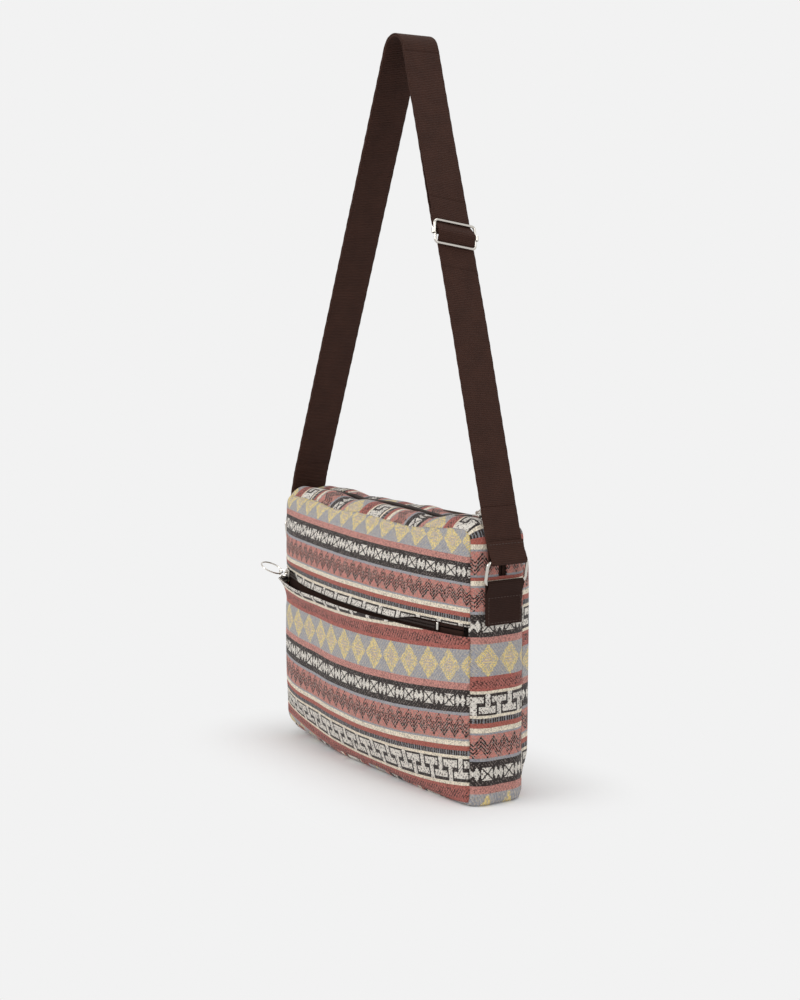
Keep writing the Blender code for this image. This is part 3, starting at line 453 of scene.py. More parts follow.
def spun_yarn(name, roughness, dark, light, scale):
    """Nylon or polyester yarn: two tones in fine blotches of its twist."""
    material, tree, shader = new_material(name, Roughness=roughness)
    place = add(tree, "TexCoord").outputs["Object"]
    grain = add(tree, "TexNoise", Vector=place, Scale=scale, Detail=2.0)
    mixed = add(tree, "Mix", RGBA, i0=grain, i6=linear(dark), i7=linear(light))
    tree.links.new(mixed.outputs[2], shader.inputs["Base Color"])
    return material


NYLON = spun_yarn("nylon_coil_yarn", 0.42, "#2a1f1b", "#4c3d36", 900.0)
THREAD = spun_yarn("polyester_thread", 0.6, "#2c1e1a", "#57423a", 1500.0)
print("materials", [material.name for material in (NICKEL, NYLON, THREAD)])


# %% [markdown]
# The body's measures repeat those of the solids: seams 314 mm apart across, 60.4 mm
# apart in depth and 243 mm high, with panels that swell 25.6 mm between them.

# %% Measures of the body
HALF_WIDTH = 157 * MM
HALF_DEPTH = 30.2 * MM
BASE_SEAM = 6 * MM
TOP_SEAM = 243 * MM
PANEL_BULGE = 25.6 * MM
EDGE_BULGE = 7.5 * MM
BASE_CROWN = 6 * MM
SIDE_CROWN = 8 * MM
TOP_CROWN = 7 * MM
BASE_CORNER = 16 * MM
TOP_CORNER = 11 * MM
SIDE_SEAM = 202.5 * MM
CLOTH = 1.6 * MM
GAP = 0.3 * MM
FLAT_SHARE = 0.35
BASE_FLAT_SHARE = 0.75
PANEL_FLAT_SHARE = 0.42
RIGHT_CORNER = 7 * MM
BULGE_RADIUS = (HALF_WIDTH ** 2 + PANEL_BULGE ** 2) / (2 * PANEL_BULGE)
BULGE_CENTRE_Y = BULGE_RADIUS - PANEL_BULGE - HALF_DEPTH
PANEL_MIDDLE = (BASE_SEAM + TOP_SEAM) / 2
PANEL_HALF_HEIGHT = (TOP_SEAM - BASE_SEAM) / 2
ZIP_HEIGHT = 161.1 * MM
ZIP_TILT = math.radians(2.37)
EDGE_CLEAR = 4.5 * MM
print("panel radius", round(BULGE_RADIUS, 4))


# %% [markdown]
# Folds could come from a cloth simulation, but they would land elsewhere each time. Here
# each one is a small move written down: a sag, a ripple, a gather or a pucker, added to
# a point of the even surface. So they lie where they lie on the real bag.

# %% Surfaces of the body
def smooth(share):
    """Rises from 0 to 1 with soft ends."""
    share = min(1.0, max(0.0, share))
    return share * share * (3 - 2 * share)


def half_width_at(height, corner=BASE_CORNER):
    """Half the width of the front at a height, with its corners rounded."""
    low = BASE_SEAM + corner - height
    high = height - (TOP_SEAM - TOP_CORNER)
    if low > 0:
        return HALF_WIDTH - corner + math.sqrt(max(0.0, corner ** 2 - low ** 2))
    if high > 0:
        return HALF_WIDTH - TOP_CORNER + math.sqrt(max(0.0, TOP_CORNER ** 2 - high ** 2))
    return HALF_WIDTH


def swell(share, flat=FLAT_SHARE):
    """1 over the flat middle, falling to 0 at both edges."""
    beyond = max(0.0, (abs(share) - flat) / (1 - flat))
    return 1 - beyond ** 2


def panel_depth(across, height):
    """How far a panel stands from the middle of the bag."""
    arc = math.sqrt(BULGE_RADIUS ** 2 - (across * HALF_WIDTH) ** 2) - (BULGE_RADIUS - PANEL_BULGE)
    edge = EDGE_BULGE / PANEL_BULGE
    upright = edge + (1 - edge) * swell((height - PANEL_MIDDLE) / PANEL_HALF_HEIGHT, PANEL_FLAT_SHARE)
    return HALF_DEPTH + arc * upright


def zip_shift(x):
    """How far the slanting pocket zip stands above its middle height."""
    return -x * math.tan(ZIP_TILT)


CREST = [(-170, 1.0), (-127, 2.0), (-96, 2.0), (-54, -2.0), (-11, -1.0), (20, -2.0), (55, -4.0),
         (72, -5.0), (115, -2.0), (135, 0.0), (170, 0.0)]
BACK_DROP = 3.6 * MM
ZIP_SHARE = 0.15
SAG_START = 200 * MM


def crest_shift(x):
    """How far the gathered top stands above or below its even height, along the bag."""
    for (left, low), (right, high) in zip(CREST, CREST[1:]):
        if left <= x / MM <= right:
            return (low + (high - low) * smooth((x / MM - left) / (right - left))) * MM
    return 0.0


def near_top(height):
    """0 below the part of a panel that follows the top, rising to 1 at its seam."""
    return max(0.0, (height - SAG_START) / (TOP_SEAM - SAG_START)) ** 2


def back_drop(x, share=1.0):
    """How far the top slopes down from its zip to the back seam, where share is 1."""
    most = max(0.0, BACK_DROP + min(0.0, crest_shift(x)))
    inward = smooth((150 * MM - abs(x)) / (45 * MM))
    return most * inward * max(0.0, (share - ZIP_SHARE) / (1 - ZIP_SHARE))


def settle(x, height, share):
    """How the base sits: off the floor at the left front corner and flat on it at the right."""
    calm = min(1.0, max(0.0, 1 - (height - BASE_SEAM) / (45 * MM))) ** 2
    left = smooth((-x - 40 * MM) / (117 * MM)) * (1 - share) / 2
    right = smooth((x - 10 * MM) / (147 * MM))
    return (7 * left - 5.2 * right) * MM * calm


def ripple(x, z, seed):
    """Soft, uneven slackness of cloth, from -1 to 1, made of a few crossing waves."""
    total = 0.0
    for k in range(1, 5):
        angle = seed * 1.7 + k * 2.4
        wave = 2 * math.pi / ((34 + 23 * k) * MM)
        total += math.sin((x * math.cos(angle) + z * math.sin(angle)) * wave + seed * 3.1 + k)
    return total / 4


def seam_roll(distance, depth=1.5 * MM, reach=5 * MM):
    """How far the cloth rolls in towards a seam at a distance from it."""
    return depth * max(0.0, 1 - distance / reach) ** 2


print("the top dips by up to", -min(low for _, low in CREST), "mm")


# %% [markdown]
# Each sewn piece is a grid laid over its place on the bag, a single surface that a
# modifier then gives the cloth's thickness. A subdivided box could be pulled into shape
# instead, but a grid keeps its threads straight for the weave.

# %% A sheet of cloth on a grid
def mesh_piece(name, bm, material):
    """Turns a mesh in the making into a smooth piece of one material."""
    mesh = bpy.data.meshes.new(name)
    bm.to_mesh(mesh)
    bm.free()
    mesh.shade_smooth()
    mesh.materials.append(material)
    piece = bpy.data.objects.new(name, mesh)
    bpy.context.scene.collection.objects.link(piece)
    return piece


def grid_sheet(name, columns, rows, place, weave, material, thickness):
    """A grid laid by place(share across, share along), with cloth coordinates from weave."""
    bm = bmesh.new()
    bmesh.ops.create_grid(bm, x_segments=columns, y_segments=rows, size=1.0)
    layer = bm.loops.layers.uv.new("cloth")
    spots = {}
    for vert in bm.verts:
        spots[vert.index] = ((vert.co.x + 1) / 2, (vert.co.y + 1) / 2)
    for face in bm.faces:
        for loop in face.loops:
            loop[layer].uv = weave(*spots[loop.vert.index])
    for vert in bm.verts:
        vert.co = place(*spots[vert.index])
    piece = mesh_piece(name, bm, material)
    shell = piece.modifiers.new("thickness", "SOLIDIFY")
    shell.thickness = thickness
    shell.offset = -1.0
    return piece


print("sheets are ready to be laid")


# %% [markdown]
# The front is two panels of one length of cloth, cut where the pocket zip goes in, so
# the bands carry on below the zip about 9 mm lower than they left off. The lower panel
# is loose at its top edge and gapes away from the zip, most of all at the left.

# %% Front and back panels
def flap_drop(across):
    """How far the cloth over the pocket zip hangs past its edge, clear of both ends."""
    x = across * HALF_WIDTH
    return 5 * MM * smooth((x + 128 * MM) / (30 * MM)) * smooth((102 * MM - x) / (30 * MM))


def panel(name, side, low, high, phase, node, slack, columns=150, rows=90):
    low_calm = BASE_SEAM + BASE_CORNER
    high_calm = TOP_SEAM - TOP_CORNER

    def spot(u, v):
        across = (2 * u - 1) * -side
        height = low + (high - low) * v
        slant = 0.0
        if high < high_calm:
            slant = max(0.0, (height - low_calm) / (high - low_calm))
        elif low > low_calm:
            slant = max(0.0, (high_calm - height) / (high_calm - low))
            height -= flap_drop(across) * (1 - v) ** 4
        return across, height + zip_shift(across * HALF_WIDTH) * slant

    def place(u, v):
        across, height = spot(u, v)
        depth = panel_depth(across, height)
        near = min((1 - abs(across)) * HALF_WIDTH, abs(height - BASE_SEAM), abs(TOP_SEAM - height))
        calm = min(1.0, near / (30 * MM))
        depth += ripple(across * HALF_WIDTH, height, 1.3 + side) * 1.1 * MM * calm
        depth -= seam_roll(near)
        depth += slack(across, height)
        x = across * half_width_at(height, RIGHT_CORNER if across > 0 else BASE_CORNER)
        lower_edge = back_drop(x) if side > 0 else 0.0
        sunk = (crest_shift(x) - lower_edge) * near_top(height)
        return Vector((x, side * depth, height + sunk + settle(x, height, side)))

    def weave(u, v):
        across, height = spot(u, v)
        arc = BULGE_RADIUS * math.asin(across * HALF_WIDTH / BULGE_RADIUS)
        level = height + crest_shift(across * HALF_WIDTH) * near_top(height)
        return ((arc * -side + 4.88 * MM) / REPEAT_WIDTH, phase(across, height) - level / REPEAT_LENGTH)

    piece = grid_sheet(name, columns, rows, place, weave, JACQUARD, 1.2 * MM)
    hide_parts(node)
    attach(piece, "bag")
    return piece


def lip_reach(across, height):
    """0 where the pocket's slack lip starts and 1 at its edge."""
    edge = ZIP_HEIGHT + zip_shift(across * HALF_WIDTH) - EDGE_CLEAR
    return max(0.0, (height - (edge - 26 * MM)) / (26 * MM))


def left_bulge(across, height, depth):
    """The front stands out most near its left end, between its seams."""
    side = smooth(1 - abs(across + 0.78) / 0.42) * min(1.0, (1 - abs(across)) / 0.12)
    return depth * side * smooth((height - 12 * MM) / (50 * MM)) * smooth((238 * MM - height) / (50 * MM))


def lower_slack(across, height):
    reach = lip_reach(across, height)
    proud = 2.5 * MM + 11.5 * MM * (1 - across) / 2
    wave = 1 + 0.10 * math.sin(across * 9.0 + 0.6)
    lip = proud * wave * reach ** 2 * swell(across, 0.9)
    return lip + left_bulge(across, height, 6 * MM) * max(0.2, 1 - reach)


def upper_slack(across, height):
    over_zip = height - ZIP_HEIGHT - zip_shift(across * HALF_WIDTH)
    near = max(0.0, 1 - over_zip / (14 * MM))
    flap = 2.8 * MM * flap_drop(across) / (5 * MM) * min(1.0, near) ** 2
    return flap + left_bulge(across, height, 4 * MM) * max(0.2, 1 - near)


def back_slack(across, height):
    """The back puffs out beside its right seam, so that it shows past the side."""
    inward = (1 - across) * HALF_WIDTH
    puff = smooth(inward / (9 * MM)) * (1 - smooth((inward - 9 * MM) / (90 * MM)))
    return 9 * MM * puff * smooth((height - 10 * MM) / (30 * MM)) * smooth((236 * MM - height) / (30 * MM))


def lower_phase(across, height):
    """The bands of the pocket's panel lie in shallow bows that deepen towards the base."""
    down = (149.5 * MM - height) / (143.5 * MM)
    step = (down - 0.24) / 0.56
    bow = (-1.5 - 2.5 * step) + (-2.6 - 2.7 * step) * across + (4.5 + 4.5 * step) * across ** 2
    hem = 2.3 * lip_reach(across, height) ** 2
    return 3.045 + 0.022 * across ** 2 + (bow + hem) * MM / REPEAT_LENGTH


def upper_phase(across, height):
    return 3.003 - 1.03 * (height - 0.165) + (3.0 - 6.3 * across) * MM / REPEAT_LENGTH


upper = panel("upper_front_cloth", -1, ZIP_HEIGHT + EDGE_CLEAR, TOP_SEAM, upper_phase,
              "front_upper_panel", upper_slack, rows=60)
lower = panel("lower_front_cloth", -1, BASE_SEAM, ZIP_HEIGHT - EDGE_CLEAR, lower_phase,
              "front_lower_panel", lower_slack)
back = panel("back_cloth", 1, BASE_SEAM, TOP_SEAM, lambda a, h: 3.05, "back_panel", back_slack)
print("panels", len(upper.data.polygons), len(lower.data.polygons), len(back.data.polygons))


# %% [markdown]
# Round the panels runs a strip: one piece under the base and up both sides to the side
# seams, and above them two narrow strips with the zip between. A strip is an outline in
# the upright plane, swept from the front seam to the back seam with a soft crown.

# %% An outline of straight stretches and arcs
class Run:
    """A path in one plane: straight stretches joined by arcs that round its corners."""

    def __init__(self, corners):
        self.pieces = []
        points = [Vector(corner[:2]) for corner in corners]
        radii = [corner[2] if len(corner) > 2 else 0.0 for corner in corners]
        start = points[0]
        for before, point, after, radius in zip(points, points[1:], points[2:], radii[1:]):
            towards = (point - before).normalized()
            away = (after - point).normalized()
            turn = towards.angle_signed(away)
            if radius == 0 or abs(turn) < 1e-6:
                self.pieces.append(("line", start, point, 0.0))
                start = point
                continue
            trim = radius * math.tan(abs(turn) / 2)
            self.pieces.append(("line", start, point - towards * trim, 0.0))
            self.pieces.append(("arc", point - towards * trim, towards, -turn, radius))
            start = point + away * trim
        self.pieces.append(("line", start, points[-1], 0.0))

    def stations(self, step):
        """(point, direction, length so far) at even steps along the path."""
        found = []
        length = 0.0
        for piece in self.pieces:
            if piece[0] == "line":
                _, first, last, _ = piece
                size = (last - first).length
                if size < 1e-9:
                    continue
                direction = (last - first) / size
                count = max(1, math.ceil(size / step))
                spots = []
                for i in range(count + 1):
                    spots.append((first + direction * size * i / count, direction, size * i / count))
            else:
                _, first, towards, turn, radius = piece
                side = Vector((-towards.y, towards.x)) * math.copysign(1, turn)
                centre = first + side * radius
                size = abs(turn) * radius
                count = max(3, math.ceil(size / step), math.ceil(abs(turn) / 0.2))
                spots = []
                for i in range(count + 1):
                    spin = Matrix.Rotation(turn * i / count, 2)
                    spots.append((centre + spin @ (first - centre), spin @ towards, size * i / count))
            for point, direction, part in spots:
                if found and (found[-1][0] - point).length < 1e-7:
                    continue
                found.append((point, direction, length + part))
            length += size
        return found


square = Run([(0, 0), (1, 0, 0.2), (1, 1)])
print("a corner takes", len(square.pieces), "pieces")


# %% Side strip, base and top strips
SHEET = 1.2 * MM
PUCKER, PUCKER_LONG, PUCKER_SHORT = 1.3 * MM, 11.5 * MM, 7.3 * MM


def strip_point(station, share, inset=0.0):
    """A point of a strip, from its outline (share 0 is the middle) out over its crown."""
    point, direction, _ = station
    outward = Vector((-direction.y, direction.x))
    level = 1 - direction.y ** 2
    top = point.y > PANEL_MIDDLE
    corner = TOP_CORNER if top else BASE_CORNER
    rise = (TOP_CROWN if top else BASE_CROWN) * level + SIDE_CROWN * (1 - level)
    span = min(1.0, abs(point.x) / (HALF_WIDTH - corner))
    edge = EDGE_BULGE * (1 - span ** 2) * level ** 4
    half = HALF_DEPTH + edge - CLOTH * 0.6
    flat = FLAT_SHARE if top else FLAT_SHARE + (BASE_FLAT_SHARE - FLAT_SHARE) * level
    lift = rise * swell(share, flat) - inset - seam_roll((1 - abs(share)) * half, 1.2 * MM)
    z = point.y + outward.y * lift
    if not top:
        z = max(0.0, z + settle(point.x, point.y, share))
    return Vector((point.x + outward.x * lift, share * half, z))


side_run = Run([(HALF_WIDTH, SIDE_SEAM), (HALF_WIDTH, BASE_SEAM, RIGHT_CORNER),
                (-HALF_WIDTH, BASE_SEAM, BASE_CORNER), (-HALF_WIDTH, SIDE_SEAM)]).stations(3 * MM)


def strip_sheet(name, stations, rows, share_at, weave, shape=None):
    count = len(stations) - 1

    def place(u, v):
        station = stations[round(u * count)]
        spot = strip_point(station, share_at(v, station))
        return spot + shape(station, share_at(v, station)) if shape else spot

    return grid_sheet(name, count, rows, place, lambda u, v: weave(stations[round(u * count)], v),
                      JACQUARD, SHEET)


def side_weave(station, v):
    across = (2 * v - 1) * HALF_DEPTH
    return ((across + 15.15 * MM) / REPEAT_WIDTH, 3.108 + (72.7 * MM - station[2]) / REPEAT_LENGTH)


def side_shape(station, share):
    point, direction, length = station
    level = 1 - direction.y ** 2
    soft = ripple(share * HALF_DEPTH, length, 4.4) * 0.9 * MM * swell(share, 0.0) * (1 - level)
    return Vector((math.copysign(soft, point.x), 0, 0))


gusset = strip_sheet("side_and_base_cloth", side_run, 26, lambda v, s: 2 * v - 1, side_weave, side_shape)
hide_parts("gusset_strip")
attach(gusset, "bag")

top_run = Run([(-HALF_WIDTH, SIDE_SEAM), (-HALF_WIDTH, TOP_SEAM, TOP_CORNER),
               (HALF_WIDTH, TOP_SEAM, TOP_CORNER), (HALF_WIDTH, SIDE_SEAM)]).stations(2 * MM)
TOP_LENGTH = top_run[-1][2]


def top_shape(side):
    def shape(station, share):
        point, direction, length = station
        level = 1 - direction.y ** 2
        depth = abs(share)
        body = math.sin(math.pi * min(1.0, max(0.0, (depth - 0.12) / 0.88)))
        pucker = math.sin(length / PUCKER_LONG + side * 1.1) * 0.6
        pucker += math.sin(length / PUCKER_SHORT + 2 * side) * 0.4
        up = crest_shift(point.x) * level + pucker * PUCKER * body * level
        up += (2.2 if side < 0 else 1.0) * MM * body * level
        if side > 0:
            up -= back_drop(point.x, depth) * level
        out = pucker * 0.8 * MM * body * (1 - level)
        return Vector((math.copysign(out, point.x), 0, up - 1.2 * MM * (1 - body) * level))
    return shape


def top_weave(station, v):
    return (v * 28 * MM / REPEAT_WIDTH, 3.425 + (TOP_LENGTH - station[2]) / REPEAT_LENGTH)


for label, side in (("front", -1), ("back", 1)):
    strip = strip_sheet(label + "_top_cloth", top_run, 18,
                        lambda v, s, side=side: side * (ZIP_SHARE + (1 - ZIP_SHARE) * v),
                        top_weave, top_shape(side))
    if side < 0:
        strip.modifiers["thickness"].offset = 1.0
    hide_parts("top_strip_" + label)
    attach(strip, "bag")
print("strips", len(side_run), len(top_run))


# %% [markdown]
# A zip is two tapes with a nylon coil sewn along each. The coil is drawn as two fine
# spirals, 1.5 mm from turn to turn, that follow the tape. The pocket's zip bends round
# the front panel, and the main zip runs level along the top.

# %% Zip tapes and coils
TAPE_RADIUS = BULGE_RADIUS - CLOTH - GAP
TAPE_WIDTH, TAPE_EDGE = 13 * MM, 0.5 * MM
COIL_PITCH, COIL_RADIUS, COIL_YARN = 1.5 * MM, 1.15 * MM, 0.32 * MM
COIL_ASIDE, COIL_LIFT = 1.45 * MM, 1.6 * MM
POCKET_LEFT, POCKET_RIGHT, MAIN_END = -149 * MM, 124 * MM, 134 * MM


def on_front(arc, radius, rise):
    """A point by the pocket zip: along it, out from the bulge's axis, and above its line."""
    angle = arc / BULGE_RADIUS
    level = Vector((radius * math.sin(angle), BULGE_CENTRE_Y - radius * math.cos(angle), rise))
    return Matrix.Rotation(ZIP_TILT, 3, "Y") @ level + Vector((0, 0, ZIP_HEIGHT))


def zip_sag(x):
    """The main zip dips with the cloth between its ends, and runs level where it is parked."""
    return min(0.0, crest_shift(x)) * smooth((125 * MM - abs(x)) / (30 * MM))


def tape_sheet(name, place, length, node, columns=140, rows=8):
    piece = grid_sheet(name, columns, rows, place, lambda u, v: (v * TAPE_WIDTH, u * length),
                       ZIP_TAPE, 0.5 * MM)
    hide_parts(node)
    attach(piece, "bag")
    return piece


def round_line(name, points, radius, resolution, material, closed=False):
    """A line of round section through points."""
    curve = bpy.data.curves.new(name, "CURVE")
    curve.dimensions = "3D"
    curve.bevel_depth = radius
    curve.bevel_resolution = resolution
    curve.use_fill_caps = True
    line = curve.splines.new("POLY")
    line.points.add(len(points) - 1)
    for point, target in zip(points, line.points):
        target.co = (*point, 1)
    line.use_cyclic_u = closed
    curve.materials.append(material)
    piece = bpy.data.objects.new(name, curve)
    bpy.context.scene.collection.objects.link(piece)
    return piece


def spiral(name, place, start, end, side, node):
    """A coil along one tape: place turns (along, across, out) into a point."""
    steps = int((end - start) / COIL_PITCH * 8)
    points = []
    for index in range(steps + 1):
        turn = index * math.pi / 4
        along = start + (end - start) * index / steps
        aside = side * COIL_ASIDE + COIL_RADIUS * 0.95 * math.cos(turn)
        points.append(place(along, aside, COIL_LIFT + COIL_RADIUS * 0.8 * math.sin(turn)))
    piece = round_line(name, points, COIL_YARN, 1, NYLON)
    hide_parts(node)
    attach(piece, "bag")
    return piece


ARC_LEFT = math.asin(POCKET_LEFT / BULGE_RADIUS) * BULGE_RADIUS
ARC_RIGHT = math.asin(POCKET_RIGHT / BULGE_RADIUS) * BULGE_RADIUS
ARC_END = 153 * MM
for label, side in (("upper", 1), ("lower", -1)):
    def front_tape(u, v, side=side):
        return on_front(-side * (1 - 2 * u) * ARC_END, TAPE_RADIUS, side * (TAPE_EDGE + TAPE_WIDTH * v))
    tape_sheet("pocket_tape_" + label, front_tape, 2 * ARC_END, "front_zip_tape_" + label)
    spiral("pocket_coil_" + label, lambda a, y, z: on_front(a, TAPE_RADIUS + z, y),
           ARC_LEFT + 3 * MM, ARC_RIGHT - 3 * MM, side, "front_zip_coil_" + label)

DECK = TOP_SEAM + TOP_CROWN - CLOTH - GAP
for label, side in (("front", -1), ("back", 1)):
    def top_tape(u, v, side=side):
        station = top_run[round((u if side > 0 else 1 - u) * (len(top_run) - 1))]
        spot = strip_point(station, 0.0, CLOTH + GAP)
        away = TAPE_EDGE + TAPE_WIDTH * v
        slope = back_drop(spot.x, away / HALF_DEPTH) if side > 0 else 0.0
        return Vector((spot.x, side * away, spot.z + zip_sag(spot.x) - slope))
    tape_sheet("top_tape_" + label, top_tape, TOP_LENGTH, "main_zip_tape_" + label, len(top_run) - 1, 6)
    spiral("top_coil_" + label, lambda a, y, z: Vector((a, y, DECK + z + zip_sag(a))),
           -MAIN_END, MAIN_END, side, "main_zip_coil_" + label)
print("two zips, with coils of", round(2 * MAIN_END / COIL_PITCH), "turns on top")


# %% [markdown]
# The strap is one length of 38 mm webbing. It is sewn back on itself at the right ring,
# climbs to the three-bar adjuster and weaves over its middle bar, goes over the top and
# down to the left ring, turns back through it, climbs again inside the outer layer and
# comes down to the adjuster, where it wraps the middle bar and is sewn.

# %% The strap's path
WEB = 1.3 * MM
WEB_WIDTH = 38 * MM
LAYER = WEB + GAP
HALF_LAYER = LAYER / 2
RING_WIRE = 1.5 * MM
RING_SPACING = 20.2 * MM
RING_HEIGHT = 196.6 * MM
RING_TILT = math.radians(12)
RING_X = HALF_WIDTH + SIDE_CROWN + GAP + WEB + GAP + RING_WIRE
APEX_RADIUS = 14 * MM
TOP_BEND = 16.2 * MM
APEX = Vector((25.7 * MM, 677 * MM))
ADJUSTER_PLACE = 291 * MM
STANDOFF = 4 * MM
RAIL = 1.25 * MM + GAP + WEB / 2
RAIL_SPACING = 10.5 * MM
SKEW = math.radians(9)
RIGHT_END, LEFT_END, UPPER_END = 46 * MM, 60 * MM, 460 * MM
ADJUSTER_HALF = 32 * MM
SELVEDGE = 0.22 * MM


class Leg:
    """One side of the strap, with places measured along it and out from it."""

    def __init__(self, foot, head, outward):
        self.foot = foot
        self.up = (head - foot).normalized()
        normal = Vector((self.up.y, -self.up.x))
        self.out = normal if normal.x * outward > 0 else -normal

    def at(self, along, out, radius=0.0):
        point = self.foot + self.up * along + self.out * out
        return (point.x, point.y, radius)

    def spot(self, along, out=0.0):
        point = self.foot + self.up * along + self.out * out
        return (point.x, 0.0, point.y)


def ring_top(side):
    lean = Vector((side * math.sin(RING_TILT), math.cos(RING_TILT))) * RING_SPACING
    return Vector((side * RING_X, RING_HEIGHT)) + lean


right_foot, left_foot = ring_top(1), ring_top(-1)
head = APEX.copy()
for _ in range(20):
    opening = math.pi - (head - right_foot).normalized().angle((left_foot - head).normalized())
    head.y = APEX.y + APEX_RADIUS / math.sin(opening / 2) - APEX_RADIUS
right_leg = Leg(right_foot, head, 1)
bow = Vector(Leg(left_foot, head, -1).at(50 * MM, 4.5 * MM)[:2])
left_leg, left_low = Leg(bow, head, -1), Leg(left_foot, bow, -1)


def ring_loop(leg, first, last):
    wrap = RING_WIRE + GAP + WEB / 2
    return [leg.at(10 * MM, first * HALF_LAYER, 10 * MM), leg.at(1.5 * MM, first * wrap, 6 * MM),
            leg.at(-wrap, first * wrap, wrap), leg.at(-wrap, last * wrap, wrap),
            leg.at(1.5 * MM, last * wrap, 6 * MM), leg.at(10 * MM, last * HALF_LAYER, 10 * MM)]


def meeting(out):
    share = out / (1 + right_leg.out.dot(left_leg.out))
    return head + (right_leg.out + left_leg.out) * share


def strap_corners():
    over = RAIL + LAYER
    slope = math.asin((RAIL + over) / RAIL_SPACING)
    dip = RAIL_SPACING - RAIL * math.tan(slope / 2)
    leg, place, calm = right_leg, ADJUSTER_PLACE, 45 * MM
    corners = [leg.at(18 * MM, HALF_LAYER)] + ring_loop(leg, 1, -1)
    corners += [leg.at(40 * MM, -HALF_LAYER, 60 * MM),
                leg.at(place - 2 * calm, STANDOFF - RAIL, 60 * MM),
                leg.at(place - dip, STANDOFF - RAIL, RAIL),
                leg.at(place, STANDOFF + over / math.cos(slope), over),
                leg.at(place + dip, STANDOFF - RAIL, RAIL),
                leg.at(place + 22 * MM, STANDOFF - RAIL, 60 * MM),
                leg.at(place + 2 * calm, HALF_LAYER, 60 * MM)]
    outer = meeting(HALF_LAYER)
    corners += [(outer.x, outer.y, TOP_BEND + HALF_LAYER - WEB / 2), left_leg.at(0, HALF_LAYER, 80 * MM)]
    corners += ring_loop(left_low, 1, -1) + [left_leg.at(0, -HALF_LAYER, 80 * MM)]
    inner = meeting(-HALF_LAYER)
    corners.append((inner.x, inner.y, TOP_BEND - HALF_LAYER - WEB / 2))
    under = STANDOFF - RAIL - 2 * LAYER
    corners += [leg.at(place + 2 * calm, -HALF_LAYER, 60 * MM), leg.at(place + 28 * MM, under, 40 * MM),
                leg.at(place + RAIL_SPACING - 2 * MM, under, 4 * MM),
                leg.at(place + 1.2 * MM, STANDOFF - RAIL, 3 * MM),
                leg.at(place - RAIL, STANDOFF - RAIL, RAIL), leg.at(place - RAIL, STANDOFF + RAIL, RAIL),
                leg.at(place + RAIL * math.tan(slope / 2), STANDOFF + RAIL, RAIL)]
    flap = RAIL + LAYER
    corners += [leg.at(place + RAIL_SPACING - flap * math.tan(slope / 2), STANDOFF - flap, flap),
                leg.at(place + 22 * MM, STANDOFF - flap)]
    return corners


strap_line = Run(strap_corners()).stations(2.6 * MM)
print("webbing length, m", round(strap_line[-1][2], 3))


# %% [markdown]
# The strap is drawn in six lengths that meet edge to edge. The length at the adjuster
# rides on the adjuster's body and the top length on the bag's; the other four keep
# their place in the scene and ride on no body.

# %% The strap's lengths
def strap_zone(point):
    """The name of the length of strap that a point of its path belongs to."""
    right = (point - right_leg.foot).dot(right_leg.up)
    left = (point - left_low.foot).dot(left_low.up)
    away = (point - right_leg.foot).dot(right_leg.out)
    if abs(away) < 22 * MM and right < UPPER_END:
        if right < RIGHT_END:
            return "strap_right_end"
        if right < ADJUSTER_PLACE - ADJUSTER_HALF:
            return "strap_right_lower"
        if right < ADJUSTER_PLACE + ADJUSTER_HALF:
            return "strap_at_adjuster"
        return "strap_right_upper"
    return "strap_left_end" if left < LEFT_END and point.x < 0 else "strap_top"


def adjuster_skew(point, y):
    """The webbing turns a little across itself at the adjuster, which hangs askew."""
    along = (point - right_leg.foot).dot(right_leg.up)
    away = (point - right_leg.foot).dot(right_leg.out)
    if abs(away) > 20 * MM:
        return Vector((0, 0))
    weight = 1 - min(1.0, max(0.0, (abs(along - ADJUSTER_PLACE) - 30 * MM) / (60 * MM)))
    return right_leg.up * (-y * math.tan(SKEW) * weight)


def webbing(name, lengths, material=WEBBING, skew=None):
    """Flat webbing along lengths of (point, direction, length so far), as one mesh."""
    rows = 12
    bm = bmesh.new()
    layer = bm.loops.layers.uv.new("cloth")
    for stations in lengths:
        grid = []
        for index, (point, direction, so_far) in enumerate(stations):
            edge = SELVEDGE * (1 if round(so_far / WEB_RIB) % 2 else -1)
            line = []
            for row in range(rows + 1):
                y = (0.5 - row / rows) * (WEB_WIDTH + edge)
                moved = skew(point, y) if skew else Vector((0, 0))
                vert = bm.verts.new((point.x + moved.x, y, point.y + moved.y))
                line.append((vert, (row / rows * WEB_WIDTH, so_far)))
            grid.append(line)
        for first, second in zip(grid, grid[1:]):
            for row in range(rows):
                corners = [first[row], second[row], second[row + 1], first[row + 1]]
                face = bm.faces.new([corner[0] for corner in corners])
                for loop, corner in zip(face.loops, corners):
                    loop[layer].uv = corner[1]
    piece = mesh_piece(name, bm, material)
    shell = piece.modifiers.new("thickness", "SOLIDIFY")
    shell.thickness = WEB
    shell.offset = 0.0
    rim = piece.modifiers.new("soft_edge", "BEVEL")
    rim.width = 0.25 * MM
    rim.segments = 1
    rim.limit_method = "ANGLE"
    rim.angle_limit = math.radians(60)
    rim.use_clamp_overlap = True
    return piece


